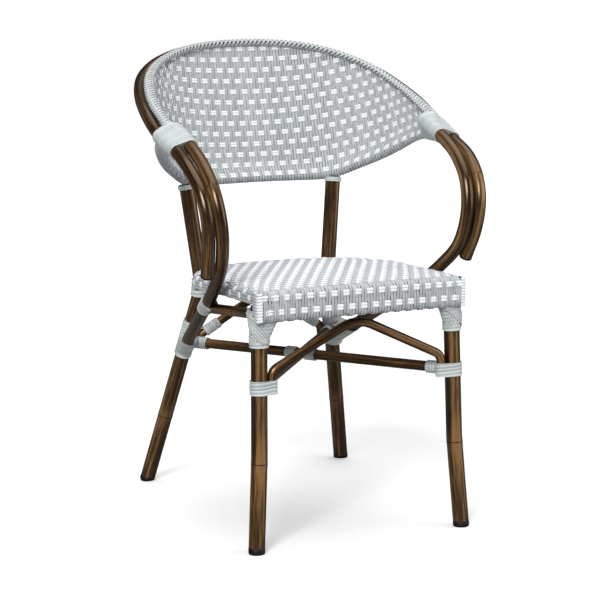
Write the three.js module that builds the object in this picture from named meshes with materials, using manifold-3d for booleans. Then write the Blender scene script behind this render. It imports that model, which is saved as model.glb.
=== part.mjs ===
import * as THREE from 'three';
import { mergeVertices } from 'three/addons/utils/BufferGeometryUtils.js';
import Module from 'manifold-3d';

// Rattan bistro armchair: bent and welded aluminium tube, a woven seat and a woven barrel back.
// Millimetres, +Z up. The chair faces -Y and the origin lies on the floor under its middle.

const wasm = await Module();
wasm.setup();

// Tube stock
const legDiameter = 28;
const legWall = 1.6;
const armDiameter = 22;
const armWall = 1.4;
const railDiameter = 18;
const archDiameter = 16;
const backRailDiameter = 14;
const railWall = 1.3;
const seatBarDiameter = 22;

// Clearance between touching pieces, and the size of a block that trims an end
const clearance = 0.3;
const trimSize = 150;

// Front legs
const frontFootHalfSpan = 195;
const frontFootSetback = -267;
const frontKneeHalfSpan = 184.5;
const frontKneeSetback = -258;
const frontKneeHeight = 160;
const frontKneeBend = 420;
const frontTopHalfSpan = 179.5;
const frontTopSetback = -251;

// Rear legs, which run on up to the back as posts
const rearFootHalfSpan = 206;
const rearFootSetback = 260;
const rearBendHalfSpan = 128;
const rearBendSetback = 150;
const rearBendHeight = 389;
const rearBend = 130;
const postTopHalfSpan = 149;
const postTopSetback = 168;
const postOverlap = 5;

// Feet and end caps
const footCapHeight = 10;
const footCapChamfer = 2.5;
const plugDepth = 16;
const armCapHeight = 4;
const armCapChamfer = 1.6;

// Rim of the back, listed from its tip at the arm to the middle
const rimHalfSpan = 254;
const rimTipSetback = -30;
const rimTipHeight = 706;
const rimDepth = 283;
const rimRise = 125;
const rimWidthShares = [1, 0.992, 0.945, 0.874, 0.78, 0.669, 0.492, 0.256, 0];
const rimDepthShares = [0, 0.258, 0.474, 0.629, 0.742, 0.829, 0.915, 0.979, 1];
const rimRiseShares = [0, 0.24, 0.448, 0.616, 0.736, 0.832, 0.928, 0.984, 1];
const braidHalfHeight = 8;
const braidHalfThickness = 6;

// Lower rail of the back: level between the posts, then a wing up to each arm
const railMidSetback = 195;
const railMidHeight = 582;
const railKneeRise = 2;
const railTipHalfSpan = 255.5;
const railTipSetback = -17;
const railTipHeight = 671;
const wingWidthShares = [1, 0.986, 0.798, 0.573, 0.291, 0];
const wingDepthShares = [1, 0.832, 0.595, 0.378, 0.184, 0];
const wingRiseShares = [1, 0.966, 0.678, 0.425, 0.218, 0];
const levelWidthShares = [0.738, 0.403, 0];
const levelDepthShares = [0.52, 0.185, 0];
const weaveThickness = 3;

// Hoop behind the rim, running on forward as the two outer arms
const hoopDrop = 7;
const hoopTipDrop = 18;
const hoopTipSpacing = 15;
const armStartHalfSpan = 263;
const armStartSetback = -104;
const armStartHeight = 663;
const outerTuck = 18;
const outerReach = 111;
const outerDrop = 197;
const outerTuckShares = [1, 0.67, 0.44, 0.22, 0, 0];
const outerReachShares = [0.73, 0.946, 1, 0.838, 0.486, 0];
const outerDropShares = [1, 0.741, 0.492, 0.279, 0.117, 0];

// Inner arms, from inside the arm lashing round and down to the rear legs
const innerStartHalfSpan = 240;
const innerStartSetback = -45;
const innerStartHeight = 692;
const innerTuck = 25.5;
const innerReach = 170;
const innerDrop = 244;
const innerTuckShares = [0, 0.04, 0.08, 0.22, 0.45, 0.7, 1];
const innerReachShares = [0, 0.29, 0.676, 0.924, 1, 0.9, 0.618];
const innerDropShares = [0, 0.07, 0.201, 0.381, 0.602, 0.824, 1];
const innerBendHalfSpan = 203;
const innerBendSetback = -82;
const innerBendDrop = 10.4216;
const innerFootDrop = 21;
const innerFootOffset = 3;

// Seat
const seatFrontSetback = -281;
const seatBackSetback = 150;
const seatFrontHalfWidth = 191;
const seatHalfWidth = 199;
const seatFrontHeight = 448;
const seatSlope = 0.0416;
const seatCrown = 5;
const seatEdgeRadius = 9;
const seatFrontSkirt = 53;
const seatBarBend = 20;
const seatWidthShares = [0.962, 0.968, 0.973, 0.972, 0.974, 0.99, 1, 0.985, 0.905, 0.755, 0.555, 0.3, 0];
const seatDepthShares = [0.037, 0.13, 0.25, 0.36, 0.46, 0.54, 0.62, 0.69, 0.775, 0.875, 0.942, 0.985, 1];
const seatInnerShare = 0.5;
const seatCrownShare = 0.75;
const edgeShare = 0.3;

// Rails, bracing arches and crossed stretchers
const sideRailGap = 7.452;
const sideRailMeetShare = 0.13;
const rearRailGap = 1.7704;
const stretcherHeight = 281;
const archFootDrop = 12;
const frontArchKneeShare = 27 / 104;
const frontArchPeakDrop = 20;
const rearArchKneeShare = 9 / 91;
const rearArchPeakDrop = 22;
const archKneeBend = 20;
const archPeakBend = 62;

// Lashings: how thick the strand lies, how far each turn stands out, how wide a turn is
const lashThickness = 2.4;
const turnBulge = 0.9;
const turnWidth = 10;
const kneeLashDrop = 1;
const kneeLashBottomShare = 56 / 111;
const kneeLashReach = 22;
const kneeLashFrontShare = 0.6;
const archLashDrop = 2;
const archLashLength = 27;
const seatLashDrop = 23;
const seatLashLength = 30;
const jointLashDrop = 27;
const jointLashTopShare = 7 / 15;
const jointLashReachShare = 0.08;
const collarHeight = 12;
const armLashSetback = 12;
const armLashLength = 86;
const sideLashStart = 4;
const sideLashLength = 40;
const sideLashReach = 24;
const stretcherLashStart = 16;
const stretcherLashLength = 32;
const middleLashStart = 9;
const middleLashLength = 21;
const slopeLashStart = 14;
const slopeLashLength = 32;

// Facets
const legSides = 12;
const armSides = 12;
const railSides = 10;
const boreSides = 6;
const rodSides = 8;
const lashSides = 10;
const legBendSteps = 4;
const archBendSteps = 3;
const hoopSteps = 38;
const innerArmSteps = 14;
const stationsPerSpan = 2;

// Finishes
const paint = () => new THREE.MeshStandardMaterial({ color: 0x5a3d22, roughness: 0.35, metalness: 0.1 });
const strand = () => new THREE.MeshStandardMaterial({ color: 0xb9bec0, roughness: 0.6, metalness: 0 });
const weaveMix = () => new THREE.MeshStandardMaterial({ color: 0xcdd1d3, roughness: 0.6, metalness: 0 });
const plastic = () => new THREE.MeshStandardMaterial({ color: 0x161616, roughness: 0.5, metalness: 0 });

const legRadius = legDiameter / 2;
const armRadius = armDiameter / 2;
const railRadius = railDiameter / 2;
const archRadius = archDiameter / 2;
const backRailRadius = backRailDiameter / 2;
const seatBarRadius = seatBarDiameter / 2;
const rollRadius = backRailRadius + clearance + weaveThickness;
const mix = THREE.MathUtils.lerp;
const vec = (x, y, z) => new THREE.Vector3(x, y, z);
const up = vec(0, 0, 1);
const east = vec(1, 0, 0);
const chair = new THREE.Group();

// A route through listed stations, so that a straight run needs no steps of its own
class Route extends THREE.Curve {
  constructor(stations) {
    super();
    this.stations = stations;
  }

  getPoint(t) {
    const place = THREE.MathUtils.clamp(t, 0, 1) * (this.stations.length - 1);
    const index = Math.min(Math.floor(place), this.stations.length - 2);
    return this.stations[index].clone().lerp(this.stations[index + 1], place - index);
  }

  getPointAt(u) {
    return this.getPoint(u);
  }

  getTangentAt(u) {
    return tangentAt(this.stations, Math.round(u * (this.stations.length - 1)));
  }
}

function tangentAt(stations, index) {
  const here = stations[index];
  const next = stations[index + 1];
  const last = stations[index - 1];
  const tangent = vec(0, 0, 0);
  if (next) tangent.add(next.clone().sub(here).normalize());
  if (last) tangent.add(here.clone().sub(last).normalize());
  return tangent.normalize();
}

const mirrored = (p) => vec(-p.x, p.y, p.z);
const onSide = (points, side) => points.map((p) => vec(p.x * side, p.y, p.z));

// The whole line from half of it, listed from its +X tip to the middle
const whole = (half) => [...onSide(half, -1), ...half.slice(0, -1).reverse()];

// Corners rounded to one radius, as tube is bent on a former
function bent(corners, radius, steps) {
  const stations = [corners[0]];
  for (let i = 1; i < corners.length - 1; i += 1) {
    const before = corners[i - 1].clone().sub(corners[i]);
    const after = corners[i + 1].clone().sub(corners[i]);
    const middle = before.clone().normalize().add(after.clone().normalize()).normalize();
    const half = before.angleTo(after) / 2;
    const setback = radius / Math.tan(half);
    const centre = corners[i].clone().addScaledVector(middle, Math.hypot(radius, setback));
    const from = corners[i].clone().add(before.setLength(setback)).sub(centre);
    const to = corners[i].clone().add(after.setLength(setback)).sub(centre);
    const axis = from.clone().cross(to).normalize();
    const turn = from.angleTo(to);
    for (let k = 0; k <= steps; k += 1) {
      stations.push(from.clone().applyAxisAngle(axis, (turn * k) / steps).add(centre));
    }
  }
  stations.push(corners[corners.length - 1]);
  return stations;
}

const smoothLine = (points) => new THREE.CatmullRomCurve3(points, false, 'centripetal');

// Where a line of stations crosses a plane, nearest to the plane's own point
function crossing(stations, point, normal) {
  const reach = (p) => p.clone().sub(point).dot(normal);
  const found = [];
  for (let i = 0; i < stations.length - 1; i += 1) {
    const a = reach(stations[i]);
    const b = reach(stations[i + 1]);
    if (a * b <= 0 && a !== b) found.push(stations[i].clone().lerp(stations[i + 1], a / (a - b)));
  }
  if (found.length) return found.sort((p, q) => p.distanceTo(point) - q.distanceTo(point))[0];
  const ends = [stations[0], stations[stations.length - 1]];
  const near = ends.sort((p, q) => Math.abs(reach(p)) - Math.abs(reach(q)))[0];
  return near.clone().addScaledVector(normal, -reach(near));
}

const atHeight = (stations, height) => crossing(stations, vec(stations[0].x, stations[0].y, height), up);

function circle(radius, sides) {
  const points = [];
  for (let k = 0; k < sides; k += 1) {
    const angle = (2 * Math.PI * k) / sides;
    points.push(new THREE.Vector2(radius * Math.cos(angle), radius * Math.sin(angle)));
  }
  return points;
}

// Tube or rod carried along its stations; a bore of zero leaves it solid
function tube(stations, radius, bore, sides) {
  const section = new THREE.Shape(circle(radius, sides));
  if (bore > 0) section.holes.push(new THREE.Path(circle(bore, boreSides).reverse()));
  const extrudePath = new Route(stations);
  return new THREE.ExtrudeGeometry(section, { steps: stations.length - 1, bevelEnabled: false, extrudePath });
}

function indexed(positions, index) {
  const geometry = new THREE.BufferGeometry();
  geometry.setAttribute('position', new THREE.Float32BufferAttribute(positions, 3));
  geometry.setIndex(index);
  return geometry;
}

// Skin through rings of equal count: closed by lids, or joined end to end when it has none
function loft(rings, lids) {
  const count = rings[0].length;
  const spans = lids ? rings.length - 1 : rings.length;
  const index = [];
  for (let r = 0; r < spans; r += 1) {
    const next = ((r + 1) % rings.length) * count;
    for (let k = 0; k < count; k += 1) {
      const a = r * count + k;
      const b = r * count + ((k + 1) % count);
      const c = next + ((k + 1) % count);
      const d = next + k;
      index.push(a, b, c, a, c, d);
    }
  }
  if (lids) {
    const last = (rings.length - 1) * count;
    THREE.ShapeUtils.triangulateShape(lids[0], []).forEach(([a, b, c]) => index.push(a, c, b));
    THREE.ShapeUtils.triangulateShape(lids[1], [])
      .forEach(([a, b, c]) => index.push(last + a, last + b, last + c));
  }
  return indexed(rings.flat().flatMap((p) => [p.x, p.y, p.z]), index);
}

function solid(geometry) {
  const bare = geometry.clone();
  bare.deleteAttribute('normal');
  bare.deleteAttribute('uv');
  const merged = mergeVertices(bare);
  const corners = merged.index.array;
  const triVerts = [];
  for (let k = 0; k < corners.length; k += 3) {
    const [a, b, c] = corners.slice(k, k + 3);
    if (a !== b && b !== c && c !== a) triVerts.push(a, b, c);
  }
  return new wasm.Manifold(new wasm.Mesh({
    numProp: 3,
    vertProperties: new Float32Array(merged.attributes.position.array),
    triVerts: new Uint32Array(triVerts),
  }));
}

function cut(geometry, cutters) {
  const mesh = cutters.reduce((body, cutter) => body.subtract(cutter), solid(geometry)).getMesh();
  return indexed(Array.from(mesh.vertProperties), Array.from(mesh.triVerts));
}

// Block whose face passes through a point, lying on the side that its direction names
function block(point, direction) {
  const geometry = new THREE.BoxGeometry(trimSize, trimSize, trimSize);
  geometry.translate(0, 0, trimSize / 2);
  geometry.applyQuaternion(new THREE.Quaternion().setFromUnitVectors(up, direction));
  geometry.translate(point.x, point.y, point.z);
  return solid(geometry);
}

function add(name, geometry, material) {
  const finished = geometry.index ? geometry.toNonIndexed() : geometry;
  finished.computeVertexNormals();
  const mesh = new THREE.Mesh(finished, material);
  mesh.name = name;
  chair.add(mesh);
}

// Room that a tube needs in any piece it passes or butts against
const room = (stations, radius, sides) => solid(tube(stations, radius + clearance, 0, sides));

function stretched(stations, length) {
  const first = tangentAt(stations, 0);
  const last = tangentAt(stations, stations.length - 1);
  const head = stations[0].clone().addScaledVector(first, -length);
  const tail = stations[stations.length - 1].clone().addScaledVector(last, length);
  return [head, ...stations.slice(1, -1), tail];
}

// Outline drawn tight round circles that lie side by side, a margin outside them
function bandOutline(circles, margin) {
  return circle(1, lashSides).map((way) => {
    const far = circles.reduce((best, c) => (
      c.middle.dot(way) + c.radius > best.middle.dot(way) + best.radius ? c : best));
    return far.middle.clone().addScaledVector(way, far.radius + margin);
  });
}

// Strand wound in turns round its members: each turn stands out between two grooves
function lashing(from, to, members, turns, margin) {
  const along = to.clone().sub(from).normalize();
  const hint = Math.abs(along.z) > Math.abs(along.x) ? east : up;
  const across = hint.clone().addScaledVector(along, -hint.dot(along)).normalize();
  const over = along.clone().cross(across);
  const outlines = [];
  const rings = [];
  for (let k = 0; k <= 2 * turns; k += 1) {
    const centre = from.clone().lerp(to, k / (2 * turns));
    const circles = members.map(([stations, radius]) => {
      const offset = crossing(stations, centre, along).sub(centre);
      return { middle: new THREE.Vector2(offset.dot(across), offset.dot(over)), radius };
    });
    const outline = bandOutline(circles, margin + (k % 2) * turnBulge);
    outlines.push(outline);
    rings.push(outline.map((p) => centre.clone().addScaledVector(across, p.x).addScaledVector(over, p.y)));
  }
  return loft(rings, [outlines[0], outlines[outlines.length - 1]]);
}

const seatTop = (y) => seatFrontHeight - seatSlope * (y - seatFrontSetback);
const seatSideSkirt = weaveThickness + clearance + seatBarDiameter;
const seatUnderside = (y) => seatTop(y) - seatSideSkirt;

// Leg routes on the +X side
const frontLegTop = seatUnderside(frontTopSetback + legRadius) - 2 * clearance;
const frontLegRoute = bent([
  vec(frontFootHalfSpan, frontFootSetback, 0),
  vec(frontKneeHalfSpan, frontKneeSetback, frontKneeHeight),
  vec(frontTopHalfSpan, frontTopSetback, frontLegTop),
], frontKneeBend, legBendSteps);
const postTop = railMidHeight + railKneeRise - rollRadius + postOverlap;
const rearLegRoute = bent([
  vec(rearFootHalfSpan, rearFootSetback, 0),
  vec(rearBendHalfSpan, rearBendSetback, rearBendHeight),
  vec(postTopHalfSpan, postTopSetback, postTop),
], rearBend, legBendSteps);
const frontLegAt = (height) => atHeight(frontLegRoute, height);
const rearLegAt = (height) => atHeight(rearLegRoute, height);

// Rim and lower rail of the back, station for station across from each other
const rimHalf = rimWidthShares.map((share, i) => vec(
  rimHalfSpan * share,
  rimTipSetback + rimDepth * rimDepthShares[i],
  rimTipHeight + rimRise * rimRiseShares[i],
));
const backRailHalf = [
  ...wingWidthShares.map((share, i) => vec(
    mix(postTopHalfSpan, railTipHalfSpan, share),
    mix(postTopSetback, railTipSetback, wingDepthShares[i]),
    mix(railMidHeight + railKneeRise, railTipHeight, wingRiseShares[i]),
  )),
  ...levelWidthShares.map((share, i) => vec(
    postTopHalfSpan * share,
    mix(railMidSetback, postTopSetback, levelDepthShares[i]),
    railMidHeight,
  )),
];
const backStations = stationsPerSpan * 2 * (rimHalf.length - 1);
const rimRoute = smoothLine(whole(rimHalf)).getPoints(backStations);
const backRailRoute = smoothLine(whole(backRailHalf)).getPoints(backStations);

// Hoop and outer arms: one tube from cap to cap
const hoopSpacing = braidHalfThickness + clearance + armRadius;
const hoopHalf = [
  ...outerReachShares.map((share, i) => vec(
    armStartHalfSpan - outerTuck * outerTuckShares[i],
    armStartSetback - outerReach * share,
    armStartHeight - outerDrop * outerDropShares[i],
  )),
  ...rimHalf.map((p, i) => {
    const along = i < rimHalf.length - 1 ? tangentAt(rimHalf, i) : vec(-1, 0, 0);
    const outward = vec(along.y, -along.x, 0).normalize();
    const drop = mix(hoopTipDrop, hoopDrop, Math.sqrt(i / (rimHalf.length - 1)));
    const spacing = mix(hoopTipSpacing, hoopSpacing, i / (rimHalf.length - 1));
    return p.clone().addScaledVector(outward, spacing).addScaledVector(up, -drop);
  }),
];
const hoopRoute = smoothLine(whole(hoopHalf)).getSpacedPoints(hoopSteps);

// Inner arm: a smooth sweep, then straight down to the rear leg
const innerSweep = innerReachShares.map((share, i) => vec(
  innerStartHalfSpan - innerTuck * innerTuckShares[i],
  innerStartSetback - innerReach * share,
  innerStartHeight - innerDrop * innerDropShares[i],
));
const innerBendHeight = seatUnderside(innerBendSetback) - innerBendDrop;
const innerBend = vec(innerBendHalfSpan, innerBendSetback, innerBendHeight);
const innerFoot = rearLegAt(stretcherHeight - innerFootDrop).addScaledVector(east, innerFootOffset);
const innerLead = innerBend.clone().lerp(innerFoot, sideRailMeetShare);
const innerArmRoute = [
  ...smoothLine([...innerSweep, innerBend, innerLead]).getSpacedPoints(innerArmSteps),
  innerFoot,
];

const sideRailHeight = seatUnderside(frontTopSetback) - railRadius - sideRailGap;
const sideRailRoute = [
  vec(frontTopHalfSpan, frontTopSetback, sideRailHeight),
  innerLead,
];

// Bracing arch: two short uprights beside the legs and a rounded gable between them
const archFootHeight = stretcherHeight - archFootDrop;
function archCorners(legAt, kneeShare, peakHeight) {
  const kneeHeight = mix(stretcherHeight, peakHeight, kneeShare);
  const along = legAt(kneeHeight).sub(legAt(archFootHeight)).normalize();
  const spacing = (legRadius + clearance + archRadius) / Math.hypot(along.y, along.z);
  const foot = legAt(archFootHeight).addScaledVector(east, -spacing);
  const knee = legAt(kneeHeight).addScaledVector(east, -spacing);
  return { foot, knee, peak: vec(0, legAt(peakHeight).y, peakHeight) };
}

function archRoute({ foot, knee, peak }) {
  const rise = bent([foot, knee, peak], archKneeBend, archBendSteps).slice(0, -1);
  const crest = bent([mirrored(knee), peak, knee], archPeakBend, archBendSteps).slice(1, -1);
  return [...onSide(rise, -1), ...crest, ...rise.reverse()];
}

const rearRailHeight = seatUnderside(seatBackSetback) - railRadius - rearRailGap;
const rearArch = archCorners(rearLegAt, rearArchKneeShare, rearRailHeight - rearArchPeakDrop);
const rearArchRoute = archRoute(rearArch);
const frontArch = archCorners(frontLegAt, frontArchKneeShare, sideRailHeight - frontArchPeakDrop);
const frontArchRoute = archRoute(frontArch);

// Crossed stretchers: one runs whole, the other is cut where they meet
const stretcherFront = frontLegAt(stretcherHeight);
const stretcherRear = rearLegAt(stretcherHeight);
const wholeStretcher = [mirrored(stretcherFront), stretcherRear];
const cutStretcher = [mirrored(stretcherRear), stretcherFront];
const stretcherCross = crossing(cutStretcher, vec(0, 0, stretcherHeight), east);

// Front rail inside the seat's front skirt, rear rail between the posts
const frontRailSetback = seatFrontSetback + weaveThickness + clearance + railRadius;
const frontRailHeight = seatFrontHeight - seatFrontSkirt + weaveThickness + clearance + railRadius;
const frontRailEnd = seatFrontHalfWidth - weaveThickness - clearance;
const frontRailRoute = [
  vec(-frontRailEnd, frontRailSetback, frontRailHeight),
  vec(frontRailEnd, frontRailSetback, frontRailHeight),
];
const rearRailRoute = [mirrored(rearLegAt(rearRailHeight)), rearLegAt(rearRailHeight)];

const sides = [['left', -1], ['right', 1]];
const roomsOn = {};
sides.forEach(([label, side]) => {
  roomsOn[label] = {
    frontLeg: room(onSide(frontLegRoute, side), legRadius, legSides),
    rearLeg: room(onSide(rearLegRoute, side), legRadius, legSides),
    innerArm: room(onSide(innerArmRoute, side), armRadius, armSides),
    sideRail: room(onSide(sideRailRoute, side), railRadius, railSides),
  };
});
const hoopRoom = room(hoopRoute, armRadius, armSides);
const wholeStretcherRoom = room(wholeStretcher, railRadius, railSides);
const cutStretcherRoom = room(cutStretcher, railRadius, railSides);
const frontArchRoom = room(stretched(frontArchRoute, archDiameter), archRadius, railSides);
const rearArchRoom = room(rearArchRoute, archRadius, railSides);
const frontRailRoom = room(frontRailRoute, railRadius, railSides);
const rearRailRoom = room(rearRailRoute, railRadius, railSides);
const rollRoom = room(backRailRoute, rollRadius, 2 * lashSides);

// Plane where the arm lashing starts: the rim, the lower rail and the weave end against it
const hoopTip = hoopHalf[outerReachShares.length];
const armLashWay = hoopHalf[outerReachShares.length - 1].clone().sub(hoopTip).normalize();
const armLashStart = hoopTip.clone().addScaledVector(armLashWay, -armLashSetback);
const armLashEnd = armLashStart.clone().addScaledVector(armLashWay, armLashLength);
const tipBlocks = sides.map(([, side]) => {
  const face = armLashStart.clone().addScaledVector(armLashWay, -clearance);
  return block(onSide([face], side)[0], onSide([armLashWay], side)[0]);
});

// Largest round plug that fits the flat-sided bore with its clearance
const plugRadius = (bore) => bore * Math.cos(Math.PI / boreSides) - clearance;

const capProfile = (outer, inner, height, chamfer) => [
  new THREE.Vector2(0, -height),
  new THREE.Vector2(outer - chamfer, -height),
  new THREE.Vector2(outer, chamfer - height),
  new THREE.Vector2(outer, -clearance),
  new THREE.Vector2(plugRadius(inner), -clearance),
  new THREE.Vector2(plugRadius(inner), plugDepth),
  new THREE.Vector2(0, plugDepth),
];

// End cap with its plug inside a tube that starts at `end` and runs on `inward`
function endCap(end, inward, profile, sidesCount) {
  const geometry = new THREE.LatheGeometry(profile, sidesCount);
  geometry.applyQuaternion(new THREE.Quaternion().setFromUnitVectors(vec(0, 1, 0), inward));
  geometry.translate(end.x, end.y, end.z);
  return geometry;
}

function addLeg(name, capName, route) {
  const inward = tangentAt(route, 0);
  const end = route[0].clone().addScaledVector(inward, footCapHeight);
  const stations = [end, ...route.slice(1)];
  const bore = legRadius - legWall;
  const profile = capProfile(legRadius, bore, footCapHeight + footCapChamfer, footCapChamfer);
  const floor = block(vec(route[0].x, route[0].y, 0), vec(0, 0, -1));
  add(name, cut(tube(stations, legRadius, bore, legSides), [rollRoom]), paint());
  add(capName, cut(endCap(end, inward, profile, legSides), [floor]), plastic());
}

function addSideFrame(label, side) {
  const rooms = roomsOn[label];
  addLeg(`leg_front_${label}`, `foot_front_${label}`, onSide(frontLegRoute, side));
  addLeg(`leg_rear_${label}`, `foot_rear_${label}`, onSide(rearLegRoute, side));
  const innerArm = tube(onSide(innerArmRoute, side), armRadius, armRadius - armWall, armSides);
  add(`arm_inner_${label}`, cut(innerArm, [rooms.rearLeg]), paint());
  const sideRail = tube(onSide(sideRailRoute, side), railRadius, railRadius - railWall, railSides);
  add(`rail_side_${label}`, cut(sideRail, [rooms.frontLeg, rooms.innerArm]), paint());
  const armRoute = onSide(hoopRoute, -side);
  const profile = capProfile(armRadius, armRadius - armWall, armCapHeight, armCapChamfer);
  add(`cap_arm_${label}`, cut(endCap(armRoute[0], tangentAt(armRoute, 0), profile, armSides), []), plastic());
}

function addCrossFrame() {
  const { left, right } = roomsOn;
  const railBore = railRadius - railWall;
  const archBore = archRadius - railWall;
  add('hoop', tube(hoopRoute, armRadius, armRadius - armWall, armSides), paint());
  add('rail_front', cut(
    tube(frontRailRoute, railRadius, railBore, railSides),
    [left.frontLeg, right.frontLeg],
  ), paint());
  add('rail_rear', cut(
    tube(rearRailRoute, railRadius, railBore, railSides),
    [left.rearLeg, right.rearLeg],
  ), paint());
  add('arch_front', tube(frontArchRoute, archRadius, archBore, railSides), paint());
  add('arch_rear', tube(rearArchRoute, archRadius, archBore, railSides), paint());
  add('stretcher_whole', cut(
    tube(wholeStretcher, railRadius, railBore, railSides),
    [left.frontLeg, right.rearLeg],
  ), paint());
  add('stretcher_half_rear', cut(
    tube([cutStretcher[0], stretcherCross], railRadius, railBore, railSides),
    [left.rearLeg, wholeStretcherRoom],
  ), paint());
  add('stretcher_half_front', cut(
    tube([stretcherCross, cutStretcher[1]], railRadius, railBore, railSides),
    [right.frontLeg, wholeStretcherRoom],
  ), paint());
}

// Back: lower rail, woven panel rolled round it, and the braid along the rim
function panelRing(station) {
  const foot = backRailRoute[station];
  const rise = rimRoute[station].clone().sub(foot);
  const over = rise.clone().normalize();
  const along = tangentAt(backRailRoute, station);
  const across = over.clone().cross(along).normalize();
  const lean = 1 / over.clone().cross(along).length();
  const half = weaveThickness / 2;
  const top = rise.length() - braidHalfHeight - clearance;
  const gap = Math.asin(half / rollRadius);
  const outline = [new THREE.Vector2(half, top), new THREE.Vector2(-half, top)];
  for (let k = 0; k < lashSides - 2; k += 1) {
    const angle = Math.PI / 2 + mix(gap, 2 * Math.PI - gap, k / (lashSides - 3));
    outline.push(new THREE.Vector2(rollRadius * Math.cos(angle), rollRadius * Math.sin(angle) * lean));
  }
  const ring = outline.map((p) => foot.clone().addScaledVector(across, p.x).addScaledVector(over, p.y));
  return { outline, ring };
}

function braidRing(station) {
  const over = rimRoute[station].clone().sub(backRailRoute[station]).normalize();
  const across = over.clone().cross(tangentAt(rimRoute, station)).normalize();
  const outline = circle(1, rodSides).map((p) => (
    new THREE.Vector2(p.x * braidHalfThickness, p.y * braidHalfHeight)));
  const ring = outline.map((p) => (
    rimRoute[station].clone().addScaledVector(across, p.x).addScaledVector(over, p.y)));
  return { outline, ring };
}

function loftBack(ringAt) {
  const sections = backRailRoute.map((_, station) => ringAt(station));
  const lids = [sections[0].outline, sections[sections.length - 1].outline];
  return loft(sections.map((section) => section.ring), lids);
}

function addBack() {
  const railRoom = room(stretched(backRailRoute, clearance), backRailRadius, rodSides);
  const rail = tube(backRailRoute, backRailRadius, backRailRadius - railWall, rodSides);
  add('rail_back', cut(rail, tipBlocks), paint());
  add('weave_back', cut(loftBack(panelRing), [railRoom, ...tipBlocks]), weaveMix());
  add('braid_rim', cut(loftBack(braidRing), tipBlocks), strand());
}

// Seat: plan outline, counter-clockwise from the front corner on the +X side
const seatDepth = seatBackSetback - seatFrontSetback;
const seatHalf = [
  new THREE.Vector2(seatFrontHalfWidth, seatFrontSetback),
  ...seatWidthShares.map((share, i) => new THREE.Vector2(
    seatHalfWidth * share,
    seatFrontSetback + seatDepth * seatDepthShares[i],
  )),
];
const seatOutline = [
  ...seatHalf,
  ...seatHalf.slice(0, -1).reverse().map((p) => new THREE.Vector2(-p.x, p.y)),
];

function inset(outline, distance) {
  return outline.map((p, i) => {
    const last = outline[(i + outline.length - 1) % outline.length];
    const next = outline[(i + 1) % outline.length];
    const a = p.clone().sub(last).normalize();
    const b = next.clone().sub(p).normalize();
    const inward = new THREE.Vector2(-a.y - b.y, a.x + b.x).divideScalar(1 + a.dot(b));
    return p.clone().addScaledVector(inward, distance);
  });
}

function seatRing(distance, heightAt) {
  return inset(seatOutline, distance).map((p, i) => vec(p.x, p.y, heightAt(seatOutline[i].y)));
}

const skirtEdge = (y) => (
  y < seatFrontSetback + clearance ? seatTop(y) - seatFrontSkirt : seatUnderside(y));

// Half of the seat's skin, outer or inner, from the skirt's edge up to the middle
function seatSkin(depth) {
  const cornerInset = seatEdgeRadius * edgeShare;
  const slant = depth * Math.SQRT1_2;
  const edge = seatRing(seatEdgeRadius, (y) => seatTop(y) - depth);
  const middle = edge.reduce((sum, p) => sum.add(p), vec(0, 0, 0)).divideScalar(edge.length);
  return [
    seatRing(depth, skirtEdge),
    seatRing(depth, (y) => seatTop(y) - seatEdgeRadius),
    seatRing(cornerInset + slant, (y) => seatTop(y) - cornerInset - slant),
    edge,
    edge.map((p) => p.clone().lerp(middle, seatInnerShare).addScaledVector(up, seatCrown * seatCrownShare)),
  ];
}

function addSeat() {
  const outer = seatSkin(0);
  const inner = seatSkin(weaveThickness);
  const lid = (ring) => ring.map((p) => new THREE.Vector2(p.x, p.y));
  const rings = [...inner.reverse(), ...outer];
  const reversed = [lid(rings[0]), lid(rings[rings.length - 1])];
  add('weave_seat', cut(loft(rings, reversed), []), weaveMix());
}

function addSeatBar() {
  const reach = weaveThickness + clearance + seatBarRadius;
  const line = inset(seatOutline, reach).map((p, i) => vec(p.x, p.y, seatTop(seatOutline[i].y) - reach));
  const count = line.length;
  const corner = bent([line[count - 1], line[0], line[2]], seatBarBend, archBendSteps).slice(1, -1);
  const stations = [...corner, ...line.slice(2, count - 2), ...onSide(corner, -1).reverse()];
  const rings = stations.map((p, i) => {
    const last = stations[(i + stations.length - 1) % stations.length];
    const next = stations[(i + 1) % stations.length];
    const along = tangentAt([last, p, next], 1);
    const across = along.clone().cross(up).normalize();
    const over = along.clone().cross(across);
    return circle(seatBarRadius, railSides).map((q) => (
      p.clone().addScaledVector(across, q.x).addScaledVector(over, q.y)));
  });
  add('seat_frame', loft(rings), paint());
}

// Lashings, each given by its ends, the members it binds and the rooms cut from it
const archLashBottom = archFootHeight - archLashDrop;
const archLashTop = archLashBottom + archLashLength;
const seatLashBottom = rearRailHeight - seatLashDrop;

function kneeLash(side, rooms) {
  const foot = frontLegAt(mix(archLashTop, sideRailHeight, kneeLashBottomShare));
  const back = vec(frontTopHalfSpan, frontTopSetback + kneeLashReach, sideRailHeight);
  const inward = vec(
    frontTopHalfSpan - kneeLashReach,
    mix(frontTopSetback, frontRailSetback, kneeLashFrontShare),
    sideRailHeight,
  );
  return {
    from: foot,
    to: frontLegAt(sideRailHeight - kneeLashDrop),
    members: [[frontLegRoute, legRadius], [[foot, back], railRadius], [[foot, inward], railRadius]],
    cutters: [rooms.frontLeg, rooms.sideRail, frontRailRoom],
  };
}

function archLash(side, rooms) {
  return {
    from: frontLegAt(archLashBottom),
    to: frontLegAt(archLashTop),
    members: [[frontLegRoute, legRadius], [stretched(frontArchRoute, archDiameter), archRadius]],
    cutters: [rooms.frontLeg, frontArchRoom, side < 0 ? wholeStretcherRoom : cutStretcherRoom],
  };
}

function seatLash(side, rooms) {
  return {
    from: rearLegAt(seatLashBottom),
    to: rearLegAt(seatLashBottom + seatLashLength),
    members: [[rearLegRoute, legRadius]],
    cutters: [rooms.rearLeg, rearRailRoom],
  };
}

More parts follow.
